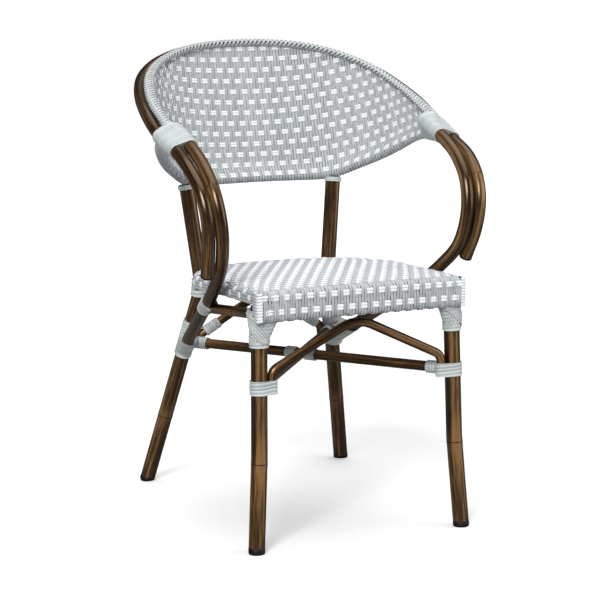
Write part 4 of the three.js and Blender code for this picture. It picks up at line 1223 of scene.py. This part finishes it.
def cap(name, end, inward, radius, height, chamfer, material, floor=None):
    """End cap: a rounded profile turned round the tube's axis, cut off flat at the floor."""
    turn = np.linspace(0, np.pi / 2, 7)
    profile = np.vstack(((0.02, -height), np.stack((
        radius - chamfer + chamfer * np.sin(turn), -height + chamfer - chamfer * np.cos(turn)), 1),
        (radius, -0.6), (radius - 0.5, 0.0), (0.02, 0.0)))
    sides = 40
    angle = np.linspace(0, 2 * np.pi, sides, endpoint=False)
    axis = np.eye(3)[np.argmin(np.abs(inward))]
    m = unit(np.cross(inward, axis))
    b = np.cross(inward, m)
    ring = np.cos(angle)[None, :, None] * m + np.sin(angle)[None, :, None] * b
    points = end + profile[:, 1][:, None, None] * inward + ring * profile[:, 0][:, None, None]
    points = points.reshape(-1, 3)
    if floor is not None:
        points[:, 2] = np.maximum(points[:, 2], floor)
    n = len(points)
    points = np.vstack((points, points[:sides].mean(axis=0), points[-sides:].mean(axis=0)))
    quads = grid_faces(len(profile), sides, True)
    return put_mesh(name, points, quads, end_fans(sides, n), material, sharp=40)


# Settings
def a_length(name, description, default, low, high):
    """Length that a user can set; Blender holds it in metres."""
    return FloatProperty(name=name, description=description, default=default, min=low, max=high,
                         unit="LENGTH", subtype="DISTANCE")


def a_share(name, description, default):
    """Part of a whole that a user can set."""
    return FloatProperty(name=name, description=description, default=default, min=0.5, max=1,
                         subtype="FACTOR")


def a_colour(name, description, *default):
    """Colour that a user can set."""
    return FloatVectorProperty(name=name, description=description, default=default, size=3, min=0, max=1,
                               subtype="COLOR")


class ChairSettings(bpy.types.PropertyGroup):
    """Sizes and colours that a user of the chair would change."""
    leg_diameter: a_length("Leg tube", "Outer diameter of the legs", 0.028, 0.015, 0.04)
    arm_diameter: a_length("Arm tube", "Outer diameter of the hoop and the arms", 0.0228, 0.012, 0.035)
    rail_diameter: a_length("Rail tube", "Outer diameter of rails and stretchers", 0.018, 0.008, 0.03)
    arch_diameter: a_length("Arch tube", "Outer diameter of the bracing arches", 0.016, 0.008, 0.025)
    strand_thickness: a_length("Strand thickness", "Thickness of the woven strands", 0.0015, 0.0008, 0.0025)
    lashing_thickness: a_length("Lashing thickness", "How far the lashings stand off their tubes",
                                0.0026, 0.0015, 0.004)
    braid_lead: a_length("Braid lead", "Length of rim in which a strand winds round once", 0.0352, 0.02, 0.06)
    braid_strand: a_length("Braid strand", "Width of the braid's strands", 0.0055, 0.003, 0.008)
    strand_cover: a_share("Strand cover", "Share of its place that a grey or binding strand fills", 0.985)
    white_cover: a_share("White strand cover", "The same for the back's white strands", 0.85)
    paint_dark: a_colour("Paint, dark", "Darkest streaks of the cane paint", 0.011, 0.0045, 0.0015)
    paint_mid: a_colour("Paint, middle", "Main brown of the cane paint", 0.043, 0.019, 0.006)
    paint_light: a_colour("Paint, light", "Golden streaks of the cane paint", 0.24, 0.125, 0.044)
    grey: a_colour("Grey strand", "Face of the grey strands", 0.50, 0.53, 0.545)
    grey_shade: a_colour("Grey strand, dark", "Darker tone of the grey strands", 0.35, 0.375, 0.39)
    white: a_colour("White strand", "Face of the white strands", 0.86, 0.88, 0.885)
    white_shade: a_colour("White strand, dark", "Darker tone of the white strands", 0.76, 0.785, 0.80)
    lashing: a_colour("Lashing strand", "Strand wound round the joints", 0.58, 0.62, 0.615)


class StageSettings(bpy.types.PropertyGroup):
    """Floor, lights and camera."""
    floor: a_colour("Floor", "Colour of the floor", 0.9, 0.9, 0.9)
    key: FloatProperty(name="Key light", description="Strength of the main light", default=2.45, min=0)
    top: FloatProperty(name="Top light", description="Strength of the light overhead", default=1.9, min=0)
    fill: FloatProperty(name="Fill light", description="Strength of the fill light", default=0.85, min=0)
    sky: FloatProperty(name="Sky", description="Strength of the light all round", default=0.25, min=0)
    lens: FloatProperty(name="Focal length", description="Focal length of the camera in mm",
                        default=114.34, min=20)


def settings():
    """The chair's own settings."""
    return bpy.context.scene.chair


def mm(length):
    """A length property in millimetres, rounded to drop the noise of single precision."""
    return round(length / MM, 4)


def radii(own):
    """Outer radii of legs, arms, rails and arches, in millimetres."""
    return [mm(d) / 2 for d in (own.leg_diameter, own.arm_diameter, own.rail_diameter, own.arch_diameter)]


# Operators
def leg_from_foot(route, side):
    """A leg's line without the piece inside its foot cap."""
    start = route[0] + unit(route[1] - route[0]) * FOOT_CAP
    return even(on_side(np.vstack((start, route[1:])), side), 5.0)


class CHAIR_OT_legs(bpy.types.Operator):
    """Front and rear legs with their node rings"""
    bl_idname = "chair.legs"
    bl_label = "Legs"

    def execute(self, context):
        own = settings()
        paint, leg_r = cane_paint(own), radii(own)[0]
        for label, side in SIDES:
            for part, route, ring in (("front", FRONT_ROUTE, FRONT_RING), ("rear", REAR_ROUTE, REAR_RING)):
                line = leg_from_foot(route, side)
                piece = bar(f"tube_leg_{part}_{label}", line, leg_r, paint, rings=(ring,))
                finish_piece(piece, "bamboo_paint", f"leg_{part}_{label}")
        return {"FINISHED"}


class CHAIR_OT_arms(bpy.types.Operator):
    """Hoop with the outer arms, and the two inner arms"""
    bl_idname = "chair.arms"
    bl_label = "Arms"

    def execute(self, context):
        own = settings()
        paint, arm_r = cane_paint(own), radii(own)[1]
        hoop = smooth_line(whole(HOOP_HALF))
        ring = lengths(hoop)[-1] - HOOP_RING_FROM_END
        finish_piece(bar("tube_hoop", hoop, arm_r, paint, rings=(ring,)), "bamboo_paint", "hoop")
        for label, side in SIDES:
            route = even(on_side(INNER_ROUTE, side), TUBE_STEP)
            rings = (ARM_RING,) if side < 0 else ()
            piece = bar(f"tube_arm_{label}", route, arm_r, paint, rings=rings)
            finish_piece(piece, "bamboo_paint", f"arm_inner_{label}")
        return {"FINISHED"}


class CHAIR_OT_rails(bpy.types.Operator):
    """Rails, bracing arches, crossed stretchers and the bar round the seat"""
    bl_idname = "chair.rails"
    bl_label = "Rails and arches"

    def execute(self, context):
        own = settings()
        paint = cane_paint(own)
        _, _, rail_r, arch_r = radii(own)
        front, rear, cross = STRETCHER_FRONT, STRETCHER_REAR, STRETCHER_CROSS
        trim = unit(front - mirrored(rear)) * (rail_r + CLEARANCE) / STRETCHER_CROSS_SINE * STRETCHER_TRIM
        rear_rail = at_height(REAR_ROUTE, REAR_RAIL_Z)
        tip = np.array((FRONT_RAIL_X, FRONT_RAIL_Y, FRONT_RAIL_Z))
        back_rail = eased(fine_line(RAIL_LINE), RAIL_EASE)[::4]
        runs = [
            ("bar_rail_front", (mirrored(tip), tip), rail_r, "rail_front"),
            ("bar_rail_rear", (mirrored(rear_rail), rear_rail), rail_r, "rail_rear"),
            ("bar_stretcher_whole", (mirrored(front), rear), rail_r, "stretcher_whole"),
            ("bar_stretcher_rear", (mirrored(rear), cross - trim), rail_r, "stretcher_half_rear"),
            ("bar_stretcher_front", (cross + trim, front), rail_r, "stretcher_half_front"),
            ("bar_rail_back", back_rail[6:-6], BACK_RAIL_R, "rail_back"),
            ("bar_arch_front", FRONT_ARCH_ROUTE, arch_r, "arch_front"),
            ("bar_arch_rear", REAR_ARCH_ROUTE, arch_r, "arch_rear"),
        ]
        for label, side in SIDES:
            start = np.array((FRONT_LEG[2, 0], FRONT_LEG[2, 1], SIDE_RAIL_Z))
            line = on_side(np.array((start, INNER_LEAD)), side)
            runs.append((f"bar_rail_side_{label}", line, rail_r, f"rail_side_{label}"))
        for name, path, radius, target in runs:
            piece = bar(name, even(np.array(path), TUBE_STEP), radius, paint, sides=24)
            finish_piece(piece, "bamboo_paint", target)
        half = np.vstack(((0.0, SEAT_FRONT), even(SEAT_EDGE, EDGE_STEP)))
        loop = np.vstack((half, half[-2:0:-1] * (-1, 1)))
        loop = even(np.vstack((loop, loop[:1])), 6.0)[:-1]
        t = unit(np.roll(loop, -1, axis=0) - np.roll(loop, 1, axis=0))
        inner = loop - np.stack((t[:, 1], -t[:, 0]), 1) * SEAT_BAR_INSET
        path = np.stack((inner[:, 0], inner[:, 1], seat_top(loop[:, 1]) - SEAT_BAR_INSET), 1)
        ring = bar("bar_seat", path, SEAT_BAR_R, paint, sides=20, closed=True)
        finish_piece(ring, "bamboo_paint", "seat_frame")
        return {"FINISHED"}


class CHAIR_OT_caps(bpy.types.Operator):
    """Black caps on the feet and on the outer arms' ends"""
    bl_idname = "chair.caps"
    bl_label = "Caps and feet"

    def execute(self, context):
        plastic = black_plastic()
        leg_r, arm_r, _, _ = radii(settings())
        hoop = smooth_line(whole(HOOP_HALF))
        for label, side in SIDES:
            for part, route in (("front", FRONT_ROUTE), ("rear", REAR_ROUTE)):
                path = on_side(route, side)
                inward = unit(path[1] - path[0])
                piece = cap(f"cap_foot_{part}_{label}", path[0] + inward * FOOT_CAP, inward,
                            leg_r + CAP_PROUD, FOOT_CAP_COVER, FOOT_CHAMFER, plastic, floor=0.0)
                finish_piece(piece, "black_plastic", f"foot_{part}_{label}")
            path = hoop if side < 0 else hoop[::-1]
            inward = unit(path[1] - path[0])
            piece = cap(f"plug_arm_{label}", path[0], inward, arm_r + CAP_PROUD, ARM_CAP, ARM_CHAMFER,
                        plastic)
            finish_piece(piece, "black_plastic", f"cap_arm_{label}")
        return {"FINISHED"}


class CHAIR_OT_back(bpy.types.Operator):
    """Woven panel of the back, rolled round its lower rail, and the braid on the rim"""
    bl_idname = "chair.back"
    bl_label = "Woven back"

    def execute(self, context):
        own = settings()
        thickness = mm(own.strand_thickness)
        grey_cover, white_cover = round(own.strand_cover, 4), round(own.white_cover, 4)
        back = Back(thickness)
        finish_piece(back_columns(back, grey_cover, thickness, grey_strand(own)), "weave", "weave_back")
        finish_piece(back_rows(back, white_cover, thickness, white_strand(own)), "weave")
        rope = braid(mm(own.braid_lead), mm(own.braid_strand), braid_strand(own))
        finish_piece(rope, "grey_strand", "braid_rim")
        # Painted shade: three thin black bars run along the rim inside the braid, a dark sheet standing in
        # for the shadow between the braid's strands and in the gap beside the hoop.
        rim, _, face, wing = rim_frame(TUBE_STEP)
        for number, ahead in enumerate((-SHADOW_CORE_SPACING, 0.0, SHADOW_CORE_SPACING)):
            line = rim + face * (BRAID_AHEAD - BRAID_SINK * wing + ahead)
            shadow_core = bar(f"rim_shadow_core_{number}", line, SHADOW_CORE_R, black_plastic(), sides=12)
            finish_piece(shadow_core, "black_plastic")
        return {"FINISHED"}


class CHAIR_OT_seat(bpy.types.Operator):
    """Woven seat with its skirts and corner bindings"""
    bl_idname = "chair.seat"
    bl_label = "Woven seat"

    def execute(self, context):
        own = settings()
        grey, white = grey_strand(own), white_strand(own)
        thickness, cover = mm(own.strand_thickness), round(own.strand_cover, 4)
        finish_piece(seat_columns(thickness, cover, grey), "weave", "weave_seat")
        finish_piece(seat_rows(thickness, white), "weave")
        finish_piece(skirt_rows(thickness, white), "weave")
        finish_piece(side_strands(thickness, cover, grey), "weave")
        for label, side in SIDES:
            finish_piece(corner_binding(f"seat_binding_{label}", side, cover, white), "weave")
        return {"FINISHED"}


class CHAIR_OT_lashings(bpy.types.Operator):
    """Strands wound round each joint of the frame"""
    bl_idname = "chair.lashings"
    bl_label = "Lashings"

    def execute(self, context):
        own = settings()
        strand, thick = lash_strand(own), mm(own.lashing_thickness)
        leg_r, arm_r, rail_r, arch_r = radii(own)
        hoop = smooth_line(whole(HOOP_HALF))
        hoop = hoop[(hoop[:, 0] > 0) & (hoop[:, 2] > ARM_CUT_Z)]
        arm_start, arm_end = (HOOP_TIP + TIP_WAY * place for place in ARM_LASH)
        inner_end = crossing(INNER_ROUTE[INNER_ROUTE[:, 2] > ARM_CUT_Z], arm_end, TIP_WAY)
        side_way = unit(np.array((FRONT_LEG[2, 0], FRONT_LEG[2, 1], SIDE_RAIL_Z)) - INNER_LEAD)
        arm_way = unit(INNER_BEND - INNER_FOOT)
        side_end = INNER_LEAD + side_way * SIDE_GUIDE[0] + arm_way * SIDE_GUIDE[1]
        side_lash = [INNER_LEAD + arm_way * place for place in SIDE_LASH]
        lower_arm = np.array((INNER_FOOT, INNER_LEAD))
        foot = at_height(FRONT_ROUTE, LEG_LASHINGS["knee"][1])
        guides = [np.array((foot, (*guide, SIDE_RAIL_Z))) for guide in KNEE_GUIDES]
        _, knee, peak = arch_corners(REAR_ROUTE, *REAR_ARCH)
        half = len(FRONT_ARCH_ROUTE) // 2
        for label, side in SIDES:
            def at(p):
                return on_side(np.asarray(p, float), side)

            legs, posts, arm = at(FRONT_ROUTE), at(REAR_ROUTE), at(INNER_ROUTE)
            high = arm[arm[:, 2] > ARM_CUT_Z]
            arch = FRONT_ARCH_ROUTE[:half] if side < 0 else FRONT_ARCH_ROUTE[half:]
            ends = unit(np.diff(arch, axis=0)[[0, -1]])
            arch = np.vstack((arch[0] - ends[0] * ARCH_OVERRUN, arch, arch[-1] + ends[1] * ARCH_OVERRUN))
            members = {
                "knee": [(legs, leg_r), *((at(guide), rail_r) for guide in guides)],
                "arch": [(legs, leg_r), (arch, arch_r)],
                "joint": [(posts, leg_r), (at(lower_arm + JOINT_SHIFT), arm_r), (at(lower_arm), arm_r)],
            }
            specs = [(part, at(at_height(route, low)), at(at_height(route, top)),
                      members.get(part, [(posts, leg_r)]), turn)
                     for part, (route, low, top, turn) in LEG_LASHINGS.items()]
            specs += [
                ("arm", at(arm_start), at(arm_end),
                 [(at(hoop), arm_r), (high, arm_r), (at((BACK_RAIL_HALF[0], inner_end)), ROLL_R),
                  (at((RIM_HALF[0], inner_end)), RIM_HELD_R)], ARM_LASH_TURN),
                ("side", *map(at, side_lash), [(arm, arm_r), (at((INNER_LEAD, side_end)), rail_r)],
                 SIDE_LASH_TURN),
            ]
            for part, line, start, radius in (
                    ("stretcher_front", (STRETCHER_FRONT, STRETCHER_CROSS), STRETCHER_LASH_START, rail_r),
                    ("stretcher_rear", (STRETCHER_REAR, STRETCHER_CROSS), STRETCHER_LASH_START, rail_r),
                    ("slope", (knee, peak), SLOPE_LASH_START, arch_r)):
                specs.append((part, *self.run(at(line), start, BAR_LASH_LENGTH, radius), BAR_LASH_TURN))
            for part, start, end, held, turn in specs:
                slant = KNEE_SLANT + KNEE_SLANT_SIDE * side if part == "knee" else None
                bulge = LOW_BULGE if part in ("joint", "side") else BULGE
                piece, crossed = lashing(f"wrap_{part}_{label}", start, end, held, strand, turn, thick,
                                         bulge, slant)
                finish_piece(piece, "grey_strand", *[f"lash_{part}_{label}"] * (part != "joint_top"))
                if crossed:
                    finish_piece(crossed, "grey_strand")
        for part, end in (("rear", mirrored(STRETCHER_REAR)), ("front", STRETCHER_FRONT)):
            run = self.run(np.array((STRETCHER_CROSS, end)), MIDDLE_LASH_START, MIDDLE_LASH_LENGTH, rail_r)
            piece, _ = lashing(f"wrap_middle_{part}", *run, strand, BAR_LASH_TURN, thick)
            finish_piece(piece, "grey_strand", f"lash_middle_{part}")
        return {"FINISHED"}

    @staticmethod
    def run(line, start, length, radius):
        """Ends and members of a lashing on one straight bar."""
        way = unit(line[1] - line[0])
        return line[0] + way * start, line[0] + way * (start + length), [(line, radius)]


CAMERA_PLACE = (-1.3646, -3.1220, 0.9686)
CAMERA_FORWARD, CAMERA_RIGHT = np.array((0.3957, 0.9021, -0.1723)), np.array((0.9158, -0.4017, 0.0))
CAMERA_ROLL, CAMERA_SHIFT = -0.395, 2.0 / 600
FLOOR_REACH, FLOOR_DROP, FLOOR_GLOW = 6000.0, 0.3, 0.15


class CHAIR_OT_stage(bpy.types.Operator):
    """Pale floor, soft lights and the camera, where the photo's stood"""
    bl_idname = "chair.stage"
    bl_label = "Stage"

    def execute(self, context):
        own = context.scene.chair_stage
        corners = FLOOR_REACH * np.array(((-1, -1, 0), (1, -1, 0), (1, 1, 0), (-1, 1, 0)))
        material, tree, shader = new_material("Pale floor", roughness=0.6)
        place = node(tree, "TexCoord").outputs["Object"]
        cloud = noise(tree, place, 1.5, 2.0)
        pale = np.array(own.floor)
        seen = node(tree, "LightPath").outputs["Is Camera Ray"]
        tone = ramp(tree, cloud, ((0.3, tuple(pale * 0.99)), (0.7, tuple(pale))))
        shiny = node(tree, "LightPath").outputs["Is Glossy Ray"]
        unseen = remap(tree, shiny, to_low=0.42, to_high=0.18)
        dim = remap(tree, seen, to_low=unseen)
        glow = remap(tree, seen, to_high=FLOOR_GLOW)
        feed(tree, shader, Base_Color=scaled(tree, tone, dim), Emission_Strength=glow)
        shader.inputs["Emission Color"].default_value = (1, 1, 1, 1)
        put_mesh("floor", corners - (0, 0, FLOOR_DROP), ((0, 1, 2, 3),), (), material)

        world = bpy.data.worlds.new("Soft sky")
        world.use_nodes = True
        tree = world.node_tree
        path = node(tree, "LightPath").outputs
        lit = remap(tree, path["Is Glossy Ray"], to_low=own.sky, to_high=own.sky * 0.3)
        strength = remap(tree, path["Is Camera Ray"], to_low=lit)
        tree.nodes["Background"].inputs["Color"].default_value = (1, 1, 1, 1)
        feed(tree, tree.nodes["Background"], Strength=strength)
        context.scene.world = world
        for name, place, power, spread in (
                ("Key light", (-2.0, -2.4, 2.6), own.key, 24.0),
                ("Top light", (0.3, 0.1, 3.2), own.top, 64.0),
                ("Fill light", (2.6, -1.6, 1.4), own.fill, 40.0)):
            data = bpy.data.lights.new(name, "SUN")
            data.energy, data.angle = power, np.radians(spread)
            self.aim(name, data, place, (0, 0, 0.4))
        camera = bpy.data.cameras.new("Camera")
        camera.lens, camera.sensor_width, camera.clip_end = own.lens, 36.0, 60.0
        camera.shift_y = CAMERA_SHIFT
        above, roll = np.cross(CAMERA_RIGHT, CAMERA_FORWARD), np.radians(CAMERA_ROLL)
        right = CAMERA_RIGHT * np.cos(roll) + above * np.sin(roll)
        above = above * np.cos(roll) - CAMERA_RIGHT * np.sin(roll)
        ways = unit(right), unit(above), -unit(CAMERA_FORWARD)
        context.scene.camera = self.put("Camera", camera, *ways, CAMERA_PLACE)
        context.scene.view_settings.view_transform = "Standard"
        return {"FINISHED"}

    def aim(self, name, data, place, target):
        """Puts a light at a place and turns it to a target."""
        back = unit(np.array(place) - np.array(target))
        side = unit(np.cross(UP, back))
        self.put(name, data, side, np.cross(back, side), back, place)

    @staticmethod
    def put(name, data, side, above, back, place):
        """Links an object whose own ways are given, as columns of its matrix."""
        item = bpy.data.objects.new(name, data)
        bpy.context.scene.collection.objects.link(item)
        matrix = np.eye(4)
        matrix[:3] = np.stack((side, above, back, place), 1)
        item.matrix_world = [list(row) for row in matrix.T]
        return item


STEPS = (CHAIR_OT_stage, CHAIR_OT_legs, CHAIR_OT_arms, CHAIR_OT_rails, CHAIR_OT_caps,
         CHAIR_OT_back, CHAIR_OT_seat, CHAIR_OT_lashings)


class VIEW3D_PT_chair(bpy.types.Panel):
    """Sizes and colours of the chair, and a button for each of its groups of pieces"""
    bl_label = "Rattan armchair"
    bl_space_type = "VIEW_3D"
    bl_region_type = "UI"
    bl_category = "Chair"

    def draw(self, context):
        for group in (context.scene.chair, context.scene.chair_stage):
            for key in group.__annotations__:
                self.layout.prop(group, key)
        for step in STEPS:
            self.layout.operator(step.bl_idname)


CLASSES = (ChairSettings, StageSettings, *STEPS, VIEW3D_PT_chair)


def register():
    for item in CLASSES:
        bpy.utils.register_class(item)
    bpy.types.Scene.chair = PointerProperty(type=ChairSettings)
    bpy.types.Scene.chair_stage = PointerProperty(type=StageSettings)


def unregister():
    del bpy.types.Scene.chair
    del bpy.types.Scene.chair_stage
    for item in reversed(CLASSES):
        bpy.utils.unregister_class(item)


def main():
    register()
    for step in STEPS:
        group, call = step.bl_idname.split(".")
        getattr(getattr(bpy.ops, group), call)()


if __name__ == "__main__":
    main()
